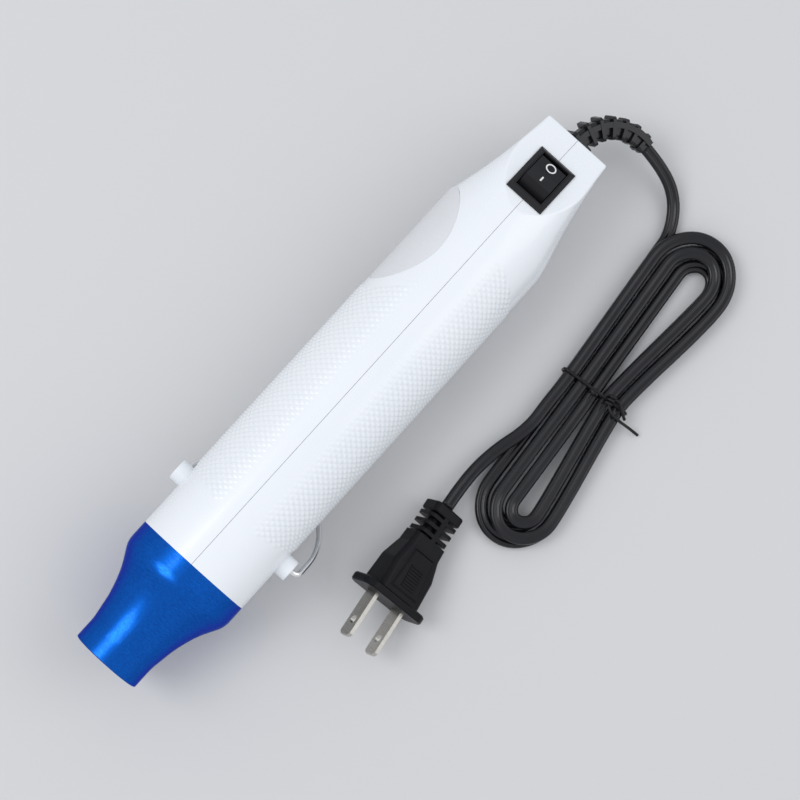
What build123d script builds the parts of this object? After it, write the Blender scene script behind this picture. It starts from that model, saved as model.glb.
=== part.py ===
from build123d import *
import math
import os

# Embossing heat tool lying on its folded wire stand, with its cord in a tied hank beside it.
# Millimetres. X runs along the tool to the nozzle mouth, Y to the hank's side, Z up from the table.
# The tool's own pieces are drawn about its long axis and lifted onto the stand at the end.

# Overall
tool_length = 240.0
mouth_station = tool_length / 2
tail_station = -tool_length / 2
overrun = 2.0
seat_gap = 0.1
print_gap = 0.3

# Casing halves
body_radius = 22.0
wall = 2.2
seam_gap = 0.12
nozzle_joint_station = 76.5
taper_length = body_radius * 2.095
taper_start_station = tail_station + taper_length
tail_half_width = body_radius * 0.59
tail_top = body_radius * 0.786
tail_bottom = body_radius * 0.476
tail_corner = body_radius * 0.171
tail_bulge = body_radius * 0.024
facet_angle = 20.0
facet_tail_height = body_radius * 0.364
facet_edge_round = body_radius / 22
tail_edge_round = body_radius / 22
blend_place_shares = [0.0, 0.13, 0.38, 0.62, 0.82, 1.0]
blend_amount_shares = [0.0, 0.10, 0.45, 0.72, 0.90, 1.0]
flat_half_angle = 22.0
rib_thickness = 1.5
rib_depth = 1.6
boss_radius = 3.6
boss_bore_radius = 1.6
pilot_radius = 1.35
recess_radius = 2.9
intake_length = 17.0
intake_width = 2.0
intake_station = -34.0
intake_angles = [20.0, 36.0, 52.0, 68.0]

# Stand and its pivots
wire_radius = 1.0
pivot_station = 56.2
pivot_boss_radius = 4.1
pivot_boss_length = 4.1
pivot_boss_reach = body_radius + pivot_boss_length
pivot_bore_gap = 0.08
pivot_bore_depth = 5.0
pivot_tip_gap = 0.4
pivot_slot_wall = 1.2
stand_leg_gap = 1.7
stand_length = body_radius * 1.559
stand_bend_radius = pivot_boss_reach - seat_gap
stand_hook_radius = 2.6
stand_body_gap = 0.3
stand_close_reach = body_radius + stand_body_gap + wire_radius
stand_close_points = [(1.0, 0.188), (0.883, 0.543), (0.583, 0.857), (0.204, 1.006)]
stand_close_rounds = [10.0, 10.0, 14.0, 14.0]
stand_close_hook_radius = 1.35
axis_height = body_radius + stand_body_gap + 2 * wire_radius

# Label
label_length = 43.0
label_width = 30.0
label_station = -57.5
label_angle = 70.0
label_thickness = 0.35
label_recess = 0.45

# Nozzle
nozzle_wall = 1.0
mouth_radius = 13.0
collar_radius = body_radius
collar_length = 6.0
mouth_length = 6.8
mouth_lip = 1.8
mouth_lip_round = 0.5
nozzle_length = mouth_station - nozzle_joint_station
nozzle_place_shares = [0.276, 0.391, 0.51, 0.628, 0.745]
nozzle_radius_shares = [0.067, 0.16, 0.316, 0.535, 0.845]
lip_radius = body_radius - wall - 2 * seat_gap
lip_thickness = 1.2
skirt_radius = lip_radius - rib_depth
skirt_length = 9.3

# Heater
liner_gap = 0.5
liner_radius = mouth_radius - nozzle_wall - liner_gap
liner_wall = 0.5
liner_rear_station = 53.0
liner_front_station = 112.6
grille_thickness = 1.2
grille_spokes = 6
grille_ring_radii = [3.2, 7.0]
grille_bar = 1.0
sleeve_wall = 0.4
sleeve_rear_station = 62.0
sleeve_front_station = 110.0
mica_thickness = 0.8
mica_gap = 0.15
coil_wire_radius = 0.4
coil_pitch = 5.0
coil_turns = 8
coil_start_station = 66.0
heater_disc_thickness = 1.4
cutout_length = 7.0
cutout_width = 6.0
cutout_height = 3.0

# Fan, motor and air path
shroud_radius = body_radius - wall - print_gap
shroud_wall = 1.3
shroud_rear_station = -5.0
shroud_front_station = 28.0
duct_wall = 1.2
duct_front_radius = liner_radius + duct_wall + 2 * seat_gap
duct_cone_front_station = 46.0
duct_front_station = 58.0
fan_radius = shroud_radius - shroud_wall - 2 * print_gap
fan_hub_radius = 5.0
fan_rear_station = 12.5
fan_depth = 9.0
fan_blades = 7
fan_blade_thickness = 1.1
fan_blade_angle = 38.0
nose_radius = 2.0
motor_radius = 12.0
motor_wall = 0.9
motor_rear_station = -20.0
motor_front_station = 8.0
motor_cap_length = 3.0
motor_boss_radius = 4.0
motor_boss_length = 1.6
motor_fit = 0.1
cradle_wall = 1.4
spoke_thickness = 1.6
spoke_count = 4
shaft_radius = 1.15
shaft_gap = 0.04
shaft_front_station = 22.5
shaft_rear_station = -23.5
bush_radius = 2.4
bush_length = 2.6
magnet_thickness = 1.8
magnet_half_angle = 62.0
armature_radius = 8.6
armature_length = 15.0
armature_slots = 3
commutator_radius = 2.6
commutator_length = 4.0

# Circuit board
board_station = -58.0
board_length = 30.0
board_inset = 2.3
board_width = 2 * (body_radius - wall - board_inset)
board_thickness = 1.6
board_height = -5.0
board_ledge = 1.4
diode_radius = 1.4
diode_length = 5.4
diode_pitch = 4.6
capacitor_radius = 4.0
capacitor_length = 11.0

# Switch
switch_station = tail_station + taper_length * 0.464
bezel_length = 21.0
bezel_width = 15.4
bezel_height = 1.8
bezel_chamfer = 1.2
switch_body_length = 18.6
switch_body_width = 12.8
switch_body_depth = 12.6
switch_wall = 1.1
cavity_length = 16.8
cavity_width = 11.2
cavity_depth = 8.6
rocker_width = 10.6
rocker_half_throw = 11.0
rocker_crest = 5.7
rocker_height = 7.3
rocker_end = 8.0
rocker_end_height = 1.0
rocker_foot = 5.6
rocker_foot_depth = 1.6
rocker_valley = 0.35
rocker_edge_round = 0.25
rocker_pivot_depth = 4.1
rocker_pin_radius = 1.1
rocker_pin_length = 0.5
terminal_width = 4.8
terminal_thickness = 0.8
terminal_length = 6.5
terminal_spread = 9.4

# Casing and clamp screws
screw_head_radius = 2.6
screw_head_height = 1.8
screw_tip = 7.5
screw_slot_width = 0.7
screw_slot_depth = 0.9
screw_stations = [50.0, -35.0, -77.5, -99.0]
screw_depth_shares = [0.8, 0.705, 0.643, 0.457]
screw_places = [(x, -share * body_radius) for x, share in zip(screw_stations, screw_depth_shares)]

# Cord, its strain relief and clamp
cord_width = 4.7
cord_thickness = 2.5
relief_height = -2.5
relief_bend_radius = 18.0
relief_droop = 25.0
relief_lead_in = 1.6
relief_lead_out = 2.2
relief_core_width = 6.4
relief_core_height = 4.4
relief_rib_count = 7
relief_rib_thickness = 1.3
relief_rib_width = 9.6
relief_rib_height = 8.4
relief_rib_end_share = 0.74
relief_rail_width = 2.0
relief_rail_offset = 1.3
relief_neck_width = 7.4
relief_neck_height = 5.4
relief_flange_thickness = 1.6
relief_inner_length = 11.5
clamp_thickness = 2.0
clamp_length = 6.0
clamp_height = 11.4
clamp_post_radius = 1.7
clamp_screw_radius = 0.9
clamp_head_radius = 1.6
clamp_screw_spread = 4.2
lead_wire_radius = 0.8

# Hank: place, waist and loops, measured from its waist in its own plane
hank_place = (-63.4, 63.6)
hank_turn = 5.46
tie_wire_radius = 0.55
tie_gap = 0.12
layer_gap = 0.48
column_gap = 0.56
loop_gap = 0.8
apex_gap = 0.95
hank_base = 2 * tie_wire_radius + 2 * tie_gap
layer_low = hank_base + cord_thickness / 2
layer_high = layer_low + cord_thickness + layer_gap
column_pitch = cord_width + column_gap
loop_pitch = cord_width + loop_gap
apex_pitch = cord_width + apex_gap
waist_half_length = 5.0
loop_length_share = 1.15
top_apex = -68.6
top_left = -11.2
top_right = 18.2
top_lean = 0.6
bottom_apex = 62.2
bottom_left = -11.2
bottom_right = 15.0
bottom_lean = -0.5
tail_start = 13.0
lead_end = -54.0

# Free cord between relief, hank and plug
lead_entry_length = 11.8
lead_middle = (-135.2, 39.6, 3.9)
lead_exit_length = 9.0
tail_entry_length = 12.0
tail_middle = (39.0, -16.4)
tail_sag = 0.9
tail_exit_length = 12.0

# Tie: its knot and two ends, measured from the knot, the band's end and its top
tie_knot_share = 0.45
tie_knot_length = 3.6
tie_knot_pitch = 1.4
tie_knot_radius = 1.25
tie_end_starts = [(1.0, 0.0), (-1.0, 0.0)]
tie_end_crests = [(3.4, 2.2), (-1.6, 3.0)]
tie_end_edges = [(3.9, -0.6, 0.6), (0.2, -2.4, 1.0)]
tie_end_falls = [(3.0, 4.4, -4.2), (2.0, 0.9, -1.4)]
tie_long_tip = (2.8, 8.4)

# Plug
plug_rear = (3.7, 51.9, 6.95)
plug_heading = 8.2
plug_rise = 7.8
plug_roll = 28.0
collar_length_plug = 3.6
plug_collar_width = 13.0
plug_collar_height = 10.0
plug_corner = 2.0
plug_relief_length = 13.0
plug_rib_count = 3
plug_rib_thickness = 1.3
plug_neck_width = 14.2
plug_neck_height = 9.6
plug_waist_place = 17.5
plug_waist_width = 14.8
plug_belly_place = 25.0
plug_belly_width = 18.6
plug_belly_height = 11.8
plug_front_width = 18.8
plug_front_height = 14.0
plug_flange_place = 36.0
plug_flange_thickness = 3.0
plug_flange_width = 28.6
plug_flange_height = 15.2
plug_flange_corner = 4.6
panel_rear_width = 9.6
panel_front_width = 13.0
panel_length = 16.0
panel_height = 0.8
panel_start = 18.6
panel_ribs = 8
panel_rib_width = 5.9
panel_rib_pitch = 1.1
panel_rib_height = 0.35
blade_spread = 12.7
blade_width = 6.35
blade_thickness = 1.5
blade_length = 18.0
blade_root = 6.0
blade_hole_radius = 1.6
blade_hole_place = 11.6
blade_tip_chamfer = 1.3


# Small shapes used by many pieces

def rod(radius, start, end):
    span = Vector(*end) - Vector(*start)
    return Plane(origin=start, z_dir=span) * extrude(Circle(radius), span.length)


def rod_x(radius, rear, front, y=0, z=0):
    return rod(radius, (rear, y, z), (front, y, z))


def rod_y(radius, near, far, x, z):
    return rod(radius, (x, near, z), (x, far, z))


def tube_x(outer, inner, rear, front):
    return rod_x(outer, rear, front) - rod_x(inner, rear - overrun, front + overrun)


def block(low, high):
    low_corner = Vector(*low)
    high_corner = Vector(*high)
    size = high_corner - low_corner
    middle = (low_corner + high_corner) / 2
    return Pos(middle.X, middle.Y, middle.Z) * Box(size.X, size.Y, size.Z)


def turned(outline):
    return revolve(make_face(outline), Axis.X)


def polygon_turned(points):
    return turned(Plane.XZ * Polyline(*[(x, radius) for x, radius in points], close=True))


def flat_tube(width, height, path):
    start = Plane(origin=path @ 0, x_dir=Vector(0, 0, 1).cross(path % 0), z_dir=path % 0)
    core = width - height
    profile = start * (Rectangle(core, height) + Pos(core / 2, 0) * Circle(height / 2)
                       + Pos(-core / 2, 0) * Circle(height / 2))
    return sweep(profile, path)


def rounded_path(points):
    corners = []
    for before, corner, after in zip(points, points[1:], points[2:]):
        run_in = Vector(*corner) - Vector(*before)
        run_out = Vector(*after) - Vector(*corner)
        half_turn = math.radians(run_in.get_angle(run_out)) / 2
        corners.append(0.45 * min(run_in.length, run_out.length) / math.tan(half_turn))
    return FilletPolyline(*points, radius=corners), corners


# Casing

def round_points(radius):
    points = []
    for quarter in range(4):
        for angle in (-flat_half_angle, 0, flat_half_angle, 45):
            turn = math.radians(90 * quarter + angle)
            points.append((radius * math.cos(turn), radius * math.sin(turn)))
    return points


def tail_points(half_width, top, bottom, corner, bulge):
    bend = corner * (1 - math.cos(math.radians(45)))
    middle = (top - bottom) / 2
    return [
        (half_width, corner - bottom), (half_width + bulge, middle), (half_width, top - corner),
        (half_width - bend, top - bend),
        (half_width - corner, top), (0, top + bulge), (corner - half_width, top),
        (bend - half_width, top - bend),
        (-half_width, top - corner), (-half_width - bulge, middle), (-half_width, corner - bottom),
        (bend - half_width, bend - bottom),
        (corner - half_width, -bottom), (0, -bottom - bulge), (half_width - corner, -bottom),
        (half_width - bend, bend - bottom),
    ]


def casing_section(station, share, inset):
    circle = round_points(body_radius - inset)
    square = tail_points(tail_half_width - inset, tail_top - inset, tail_bottom - inset,
                         tail_corner, tail_bulge)
    points = []
    for (y, z), (v, w) in zip(circle, square):
        points.append((y * (1 - share) + v * share, z * (1 - share) + w * share))
    edges = []
    for first in range(0, len(points), 2):
        start, middle, end = points[first], points[first + 1], points[(first + 2) % len(points)]
        edges.append(ThreePointArc(start, middle, end))
    return Plane(origin=(station, 0, 0), x_dir=(0, 1, 0), z_dir=(1, 0, 0)) * make_face(edges)


def facet_plane(inset):
    slope = math.radians(facet_angle)
    drop = inset / math.cos(slope)
    return Plane(origin=(tail_station, 0, facet_tail_height - drop),
                 x_dir=(math.cos(slope), 0, math.sin(slope)), z_dir=(-math.sin(slope), 0, math.cos(slope)))


def casing_form(inset):
    end = tail_station + inset
    reach = end - taper_start_station
    sections = []
    for place, amount in zip(blend_place_shares, blend_amount_shares):
        sections.append(casing_section(taper_start_station + reach * place, amount, inset))
    taper = loft(sections)
    if inset == 0:
        taper = fillet(taper.faces().sort_by(Axis.X)[0].edges(), tail_edge_round)
    barrel = rod_x(body_radius - inset, taper_start_station, nozzle_joint_station + inset)
    form = taper + barrel
    cutter = facet_plane(inset) * Pos(0, 0, body_radius) * Box(2 * body_radius + tool_length, tool_length,
                                                              2 * body_radius)
    form = form - cutter
    if inset == 0:
        facet = form.faces().filter_by(GeomType.PLANE).sort_by(Axis((0, 0, 0), facet_plane(0).z_dir))[-1]
        form = fillet(facet.edges(), facet_edge_round)
    return form


def label_solid(low, high, length, width):
    turn = math.radians(label_angle)
    outward = (0, -math.sin(turn), math.cos(turn))
    place = Plane(origin=(label_station, 0, 0), x_dir=(1, 0, 0), z_dir=outward)
    prism = extrude(place * Ellipse(length / 2, width / 2), body_radius + overrun)
    return prism & tube_x(high, low, label_station - label_length, label_station + label_length)


def half_space(side):
    reach = tool_length
    near = side * seam_gap / 2
    far = side * reach
    return block((-reach, min(near, far), -reach), (reach, max(near, far), reach))


def pivot_boss(side):
    boss = rod_y(pivot_boss_radius, side * (body_radius - wall), side * pivot_boss_reach, pivot_station, 0)
    boss = fillet(boss.edges().sort_by(Axis.Y)[-1 if side > 0 else 0], seat_gap * 4)
    return boss


def pivot_bore(side):
    bore = wire_radius + pivot_bore_gap
    near = pivot_boss_reach - pivot_bore_depth if side > 0 else body_radius - wall - overrun
    far = pivot_boss_reach + overrun if side > 0 else body_radius + wire_radius
    return rod_y(bore, side * near, side * far, pivot_station, 0)


def pivot_slot():
    reach = pivot_boss_radius + overrun
    return block((pivot_station - reach, pivot_slot_wall - pivot_boss_reach, -reach),
                 (pivot_station + reach, -body_radius - seat_gap, wire_radius + 2 * seat_gap))


def ring_rib(rear, inner):
    return tube_x(body_radius - wall / 2, inner, rear, rear + rib_thickness)


def shroud_ribs():
    held = shroud_radius - rib_depth
    rear = ring_rib(shroud_rear_station - seat_gap - rib_thickness, held)
    front = ring_rib(shroud_front_station + seat_gap, held + rib_depth / 2)
    return rear + front


def nozzle_ribs():
    lip_front = nozzle_joint_station - skirt_length + lip_thickness
    lip_rear = nozzle_joint_station - skirt_length
    front = tube_x(body_radius - wall / 2, skirt_radius + seat_gap,
                   lip_front + seat_gap, nozzle_joint_station - rib_depth)
    rear = ring_rib(lip_rear - seat_gap - heater_disc_thickness - seat_gap - rib_thickness, skirt_radius)
    return front + rear


def board_ledges():
    low = board_height - board_thickness / 2 - seat_gap
    outer = body_radius - wall / 2
    ledges = block((board_station - board_length / 2, -outer, low - board_ledge),
                   (board_station + board_length / 2, outer, low))
    middle = board_width / 2 - board_ledge
    ledges -= block((board_station - board_length, -middle, low - 2 * board_ledge),
                    (board_station + board_length, middle, low + board_ledge))
    top = board_height + board_thickness / 2 + seat_gap
    stops = Part()
    for end in (-1, 1):
        x = board_station + end * (board_length / 2 - rib_thickness)
        for side in (-1, 1):
            y_low, y_high = sorted((side * middle, side * outer))
            stops += block((x - rib_thickness / 2, y_low, top),
                           (x + rib_thickness / 2, y_high, top + board_ledge))
    return (ledges + stops) & rod_x(outer, board_station - board_length, board_station + board_length)


def intake_slots(side):
    slots = Part()
    for angle in intake_angles:
        slot = block((intake_station - intake_length / 2, -intake_width / 2, -body_radius - overrun),
                     (intake_station + intake_length / 2, intake_width / 2, wall + rib_depth - body_radius))
        slots += Rot(side * angle, 0, 0) * slot
    return slots


def relief_stations():
    outer = tail_station
    inner = tail_station + wall
    return outer, inner


def relief_hole():
    outer, inner = relief_stations()
    half_width = relief_neck_width / 2 + seat_gap
    half_height = relief_neck_height / 2 + seat_gap
    return block((outer - overrun, -half_width, relief_height - half_height),
                 (inner + overrun, half_width, relief_height + half_height))


def clamp_middle():
    return tail_station + wall + relief_flange_thickness + seat_gap + clamp_length / 2 + rib_thickness


def clamp_side():
    return relief_core_width / 2 + seat_gap


def clamp_posts(outer):
    posts = Part()
    for end in (-1, 1):
        z = relief_height + end * clamp_screw_spread
        post = rod_y(clamp_post_radius, -outer, clamp_side() - seat_gap, clamp_middle(), z)
        hole = clamp_screw_radius + seat_gap
        post -= rod_y(hole, -clamp_side(), clamp_side() + overrun, clamp_middle(), z)
        posts += post
    return posts


def switch_place():
    slope = math.radians(facet_angle)
    height = facet_tail_height + (switch_station - tail_station) * math.tan(slope)
    return Plane(origin=(switch_station, 0, height), x_dir=(math.cos(slope), 0, math.sin(slope)),
                 z_dir=(-math.sin(slope), 0, math.cos(slope)))


def switch_window():
    length = switch_body_length + 2 * seat_gap
    width = switch_body_width + 2 * seat_gap
    return switch_place() * Box(length, width, 2 * (wall + overrun))


def casing_shell():
    return (casing_form(0) - casing_form(wall)) & half_space(1)


def casing_half(side, shell, middle_form):
    half = shell if side > 0 else mirror(shell, about=Plane.XZ)
    inside = shroud_ribs() + nozzle_ribs() + board_ledges()
    for x, z in screw_places:
        inside += rod_y(boss_radius, side * seam_gap / 2, side * body_radius, x, z)
    half += inside & middle_form & half_space(side)
    half += pivot_boss(side) - pivot_slot()
    half -= pivot_bore(side)
    half -= rod_x(shroud_radius + seat_gap, shroud_rear_station - seat_gap, shroud_front_station + seat_gap)
    for x, z in screw_places:
        if side > 0:
            half -= rod_y(boss_bore_radius, -overrun, body_radius, x, z)
            half -= rod_y(recess_radius, screw_tip, body_radius + overrun, x, z)
        else:
            half -= rod_y(pilot_radius + seat_gap, -screw_tip - seat_gap, overrun, x, z)
    half -= intake_slots(side)
    half -= relief_hole()
    half -= switch_window()
    return half


def make_casing_left(shell, middle_form):
    half = casing_half(-1, shell, middle_form)
    half -= label_solid(body_radius - label_recess, body_radius + overrun, label_length + 2 * seat_gap,
                        label_width + 2 * seat_gap)
    return half + clamp_posts(tail_half_width - wall / 2)


def make_casing_right(shell, middle_form):
    return casing_half(1, shell, middle_form)


def make_label_plate():
    low = body_radius - label_recess + seat_gap / 2
    return label_solid(low, low + label_thickness, label_length, label_width)


# Wire stand

def stand_angle():
    return math.degrees(math.asin(stand_close_reach / stand_length))


def make_stand_wire():
    leg = pivot_boss_reach + stand_leg_gap + wire_radius
    tip = pivot_boss_reach - pivot_bore_depth + pivot_tip_gap
    close = [(stand_length * along, -stand_close_reach * across) for along, across in stand_close_points]
    points = [(0, tip), (0, leg), (stand_length, leg), *close, (0, close[-1][1]),
              (0, wall - body_radius - pivot_tip_gap)]
    corners = [stand_hook_radius, stand_bend_radius, *stand_close_rounds, stand_close_hook_radius]
    angle = math.radians(stand_angle())
    way = (-math.cos(angle), 0, -math.sin(angle))
    bail = Plane(origin=(pivot_station, 0, 0), x_dir=way, z_dir=Vector(*way).cross(Vector(0, 1, 0)))
    path = bail * FilletPolyline(*points, radius=corners)
    profile = Plane(origin=path @ 0, z_dir=path % 0) * Circle(wire_radius)
    return sweep(profile, path)


# Nozzle and heater

def nozzle_curve(inset):
    span = collar_radius - mouth_radius
    points = [(mouth_station - mouth_length, mouth_radius - inset)]
    for place, share in zip(nozzle_place_shares, nozzle_radius_shares):
        points.append((mouth_station - nozzle_length * place, mouth_radius + span * share - inset))
    points.append((nozzle_joint_station + collar_length, collar_radius - inset))
    return Spline(*points, tangents=[(-1, 0), (-1, 0)])


def make_nozzle():
    outer = nozzle_curve(0)
    inner = nozzle_curve(nozzle_wall)
    joint = nozzle_joint_station
    skirt_rear = joint - skirt_length
    skirt_inner = skirt_radius - nozzle_wall
    lip_front = skirt_rear + lip_thickness
    lip_back = mouth_station - mouth_lip
    lip_inner = mouth_radius - mouth_lip
    edges = [
        Line((mouth_station, mouth_radius), outer @ 0),
        outer,
        Line(outer @ 1, (joint, collar_radius)),
        Polyline((joint, collar_radius), (joint, skirt_radius), (lip_front, skirt_radius),
                 (lip_front, lip_radius), (skirt_rear, lip_radius), (skirt_rear, skirt_inner),
                 (joint + nozzle_wall, skirt_inner), (joint + nozzle_wall, collar_radius - nozzle_wall)),
        Line((joint + nozzle_wall, collar_radius - nozzle_wall), inner @ 1),
        inner,
        Polyline(inner @ 0, (lip_back, mouth_radius - nozzle_wall), (lip_back, lip_inner),
                 (mouth_station, lip_inner), (mouth_station, mouth_radius)),
    ]
    shell = revolve(Plane.XZ * make_face(edges), Axis.X)
    return fillet(shell.edges().group_by(Axis.X)[-1], mouth_lip_round)


def make_nozzle_grille():
    outer = mouth_radius - nozzle_wall - seat_gap
    rear = liner_front_station + seat_gap
    front = rear + grille_thickness
    grille = tube_x(outer, outer - grille_bar, rear, front)
    for radius in grille_ring_radii:
        grille += tube_x(radius + grille_bar / 2, radius - grille_bar / 2, rear, front)
    spoke = block((rear, -grille_bar / 2, grille_ring_radii[0]),
                  (front, grille_bar / 2, outer - grille_bar / 2))
    for index in range(grille_spokes):
        grille += Rot(360 / grille_spokes * index, 0, 0) * spoke
    return grille


def make_heater_tube():
    return tube_x(liner_radius, liner_radius - liner_wall, liner_rear_station, liner_front_station)


def make_mica_sleeve():
    outer = liner_radius - liner_wall - mica_gap
    return tube_x(outer, outer - sleeve_wall, sleeve_rear_station, sleeve_front_station)


def coil_radius():
    return liner_radius - liner_wall - mica_gap - sleeve_wall - mica_gap - coil_wire_radius


def make_mica_cross():
    reach = coil_radius() - coil_wire_radius - mica_gap
    rear, front = sleeve_rear_station, sleeve_front_station
    upright = block((rear, -mica_thickness / 2, -reach), (front, mica_thickness / 2, reach))
    level = block((rear, -reach, -mica_thickness / 2), (front, reach, mica_thickness / 2))
    return upright + level


def make_heater_coil():
    height = coil_pitch * coil_turns
    helix = Edge.make_helix(coil_pitch, height, coil_radius())
    profile = Plane(origin=helix @ 0, z_dir=helix % 0) * Circle(coil_wire_radius)
    coil = sweep(profile, helix, is_frenet=True)
    return Plane(origin=(coil_start_station, 0, 0), z_dir=(1, 0, 0)) * coil


def make_heater_disc():
    front = nozzle_joint_station - skirt_length - seat_gap
    return tube_x(lip_radius, liner_radius + seat_gap, front - heater_disc_thickness, front)


def make_thermal_cutout():
    rear = nozzle_joint_station - skirt_length + seat_gap
    low = liner_radius + seat_gap
    body = block((rear, -cutout_width / 2, low),
                 (rear + cutout_length, cutout_width / 2, low + cutout_height))
    return body - rod_x(liner_radius + seat_gap, rear - overrun, rear + cutout_length + overrun)


# Fan, motor and air path

def make_fan_shroud():
    inner = shroud_radius - shroud_wall
    ring = tube_x(shroud_radius, inner, shroud_rear_station, shroud_front_station)
    cradle_inner = motor_radius + motor_fit
    cradle_outer = cradle_inner + cradle_wall
    cradle = tube_x(cradle_outer, cradle_inner, shroud_rear_station, motor_front_station + seat_gap)
    face_front = motor_front_station + seat_gap + cradle_wall
    face = tube_x(cradle_outer, motor_boss_radius + motor_fit, motor_front_station + seat_gap, face_front)
    shroud = ring + cradle + face
    spoke = block((shroud_rear_station, -spoke_thickness / 2, cradle_outer - cradle_wall / 2),
                  (motor_front_station, spoke_thickness / 2, inner + shroud_wall / 2))
    for index in range(spoke_count):
        shroud += Rot(360 / spoke_count * (index + 0.5), 0, 0) * spoke
    return shroud


def make_air_duct():
    rear = shroud_front_station + rib_thickness + 2 * seat_gap
    big = shroud_radius - shroud_wall
    points = [(rear, big), (duct_cone_front_station, duct_front_radius),
              (duct_front_station, duct_front_radius), (duct_front_station, duct_front_radius - duct_wall),
              (duct_cone_front_station, duct_front_radius - duct_wall), (rear, big - duct_wall)]
    cone = polygon_turned(points)
    flange = tube_x(body_radius - wall - seat_gap, big - duct_wall, rear, rear + duct_wall)
    return cone + flange


def make_fan():
    front = fan_rear_station + fan_depth
    hub = rod_x(fan_hub_radius, fan_rear_station, front)
    hub = fillet(hub.edges().sort_by(Axis.X)[-1], nose_radius)
    fan = hub
    blade_reach = fan_radius + overrun
    chord = fan_depth / math.cos(math.radians(fan_blade_angle))
    blade = Box(chord, fan_blade_thickness, blade_reach - fan_hub_radius + nose_radius)
    middle = (fan_hub_radius + blade_reach - nose_radius) / 2
    blade = Pos(fan_rear_station + fan_depth / 2, 0, middle) * (Rot(0, 0, fan_blade_angle) * blade)
    blade = blade & tube_x(fan_radius, fan_hub_radius - nose_radius / 2, fan_rear_station, front)
    for index in range(fan_blades):
        fan += Rot(360 / fan_blades * index, 0, 0) * blade
    return fan - rod_x(shaft_radius, fan_rear_station - overrun, front + overrun)


def make_motor_can():
    can = rod_x(motor_radius, motor_rear_station, motor_front_station)
    can += rod_x(motor_boss_radius, motor_front_station, motor_front_station + motor_boss_length)
    can -= rod_x(motor_radius - motor_wall, motor_rear_station - overrun, motor_front_station - motor_wall)
    bush_end = motor_front_station + 2 * motor_boss_length
    return can - rod_x(bush_radius, motor_front_station - overrun, bush_end)


def make_motor_end_cap():
    rear = motor_rear_station - motor_cap_length
    cap = rod_x(motor_radius - motor_wall / 2, rear, motor_rear_station)
    return cap - rod_x(bush_radius, rear - overrun, motor_rear_station + overrun)


def make_motor_bushes():
    hole = shaft_radius + shaft_gap
    rear = motor_rear_station - motor_cap_length
    rear_bush = tube_x(bush_radius, hole, rear, rear + bush_length)
    front = motor_front_station + motor_boss_length
    front_bush = tube_x(bush_radius, hole, front - bush_length, front)
    return [rear_bush, front_bush]


def make_motor_magnets():
    outer = motor_radius - motor_wall
    ring = tube_x(outer, outer - magnet_thickness, motor_rear_station + motor_cap_length,
                  motor_front_station - motor_cap_length)
    reach = 2 * motor_radius
    magnets = []
    for side in (-1, 1):
        half = reach * math.tan(math.radians(magnet_half_angle))
        wedge = make_face(Polyline((0, 0), (side * reach, half), (side * reach, -half), close=True))
        place = Plane(origin=(motor_rear_station - overrun, 0, 0), x_dir=(0, 1, 0), z_dir=(1, 0, 0))
        magnets.append(ring & extrude(place * wedge, tool_length))
    return magnets


def make_motor_armature():
    rear = motor_rear_station + motor_cap_length + commutator_length
    core = rod_x(armature_radius, rear, rear + armature_length)
    slot = block((rear - overrun, -cutter_slot() / 2, armature_radius / 2),
                 (rear + armature_length + overrun, cutter_slot() / 2, armature_radius + overrun))
    for index in range(armature_slots):
        core -= Rot(360 / armature_slots * index, 0, 0) * slot
    core += rod_x(commutator_radius, rear - commutator_length, rear)
    return core - rod_x(shaft_radius, rear - 2 * commutator_length, rear + armature_length + overrun)


def cutter_slot():
    return armature_radius / 4


def make_motor_shaft():
    return rod_x(shaft_radius, shaft_rear_station, shaft_front_station)


# Circuit board

def make_rectifier_board():
    board = Pos(board_station, 0, board_height) * Box(board_length, board_width, board_thickness)
    return board


def board_top():
    return board_height + board_thickness / 2 + seat_gap / 2


def make_diodes():
    diodes = []
    for index in range(4):
        x = board_station - board_length / 4 + diode_pitch * (index - 0.5)
        z = board_top() + diode_radius
        diodes.append(rod_y(diode_radius, -diode_length / 2, diode_length / 2, x, z))
    return diodes


def make_capacitor():
    y = board_width / 4
    start = board_station - capacitor_length / 2
    body = rod_x(capacitor_radius, start, start + capacitor_length, y, board_top() + capacitor_radius)
    return fillet(body.edges(), capacitor_radius / 8)


# Switch

def make_switch_housing():
    bezel = Pos(0, 0, bezel_height / 2) * Box(bezel_length, bezel_width, bezel_height)
    bezel = chamfer(bezel.faces().sort_by(Axis.Z)[-1].edges(), bezel_chamfer, bezel_chamfer * 1.15)
    body = Pos(0, 0, -switch_body_depth / 2) * Box(switch_body_length, switch_body_width, switch_body_depth)
    housing = bezel + body
    deep = cavity_depth + bezel_height
    housing -= Pos(0, 0, bezel_height - deep / 2 + overrun / 2) * Box(cavity_length, cavity_width, deep + overrun)
    pin = Pos(0, 0, -rocker_pivot_depth) * (Rot(90, 0, 0) * Cylinder(
        rocker_pin_radius + shaft_gap, rocker_width + 2 * rocker_pin_length + 2 * seat_gap))
    housing -= pin
    for end in (-1, 1):
        slit = Pos(end * terminal_spread / 2, 0, -switch_body_depth) * Box(
            terminal_thickness + seat_gap, terminal_width + seat_gap, 2 * switch_wall)
        housing -= slit
    return switch_place() * housing


def rocker_outline():
    mid = rocker_height - rocker_valley
    right = [(rocker_crest, rocker_height), (rocker_end, rocker_end_height), (rocker_foot, -rocker_foot_depth)]
    left = [(-x, z) for x, z in reversed(right)]
    return [(0, mid)] + right + left


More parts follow.
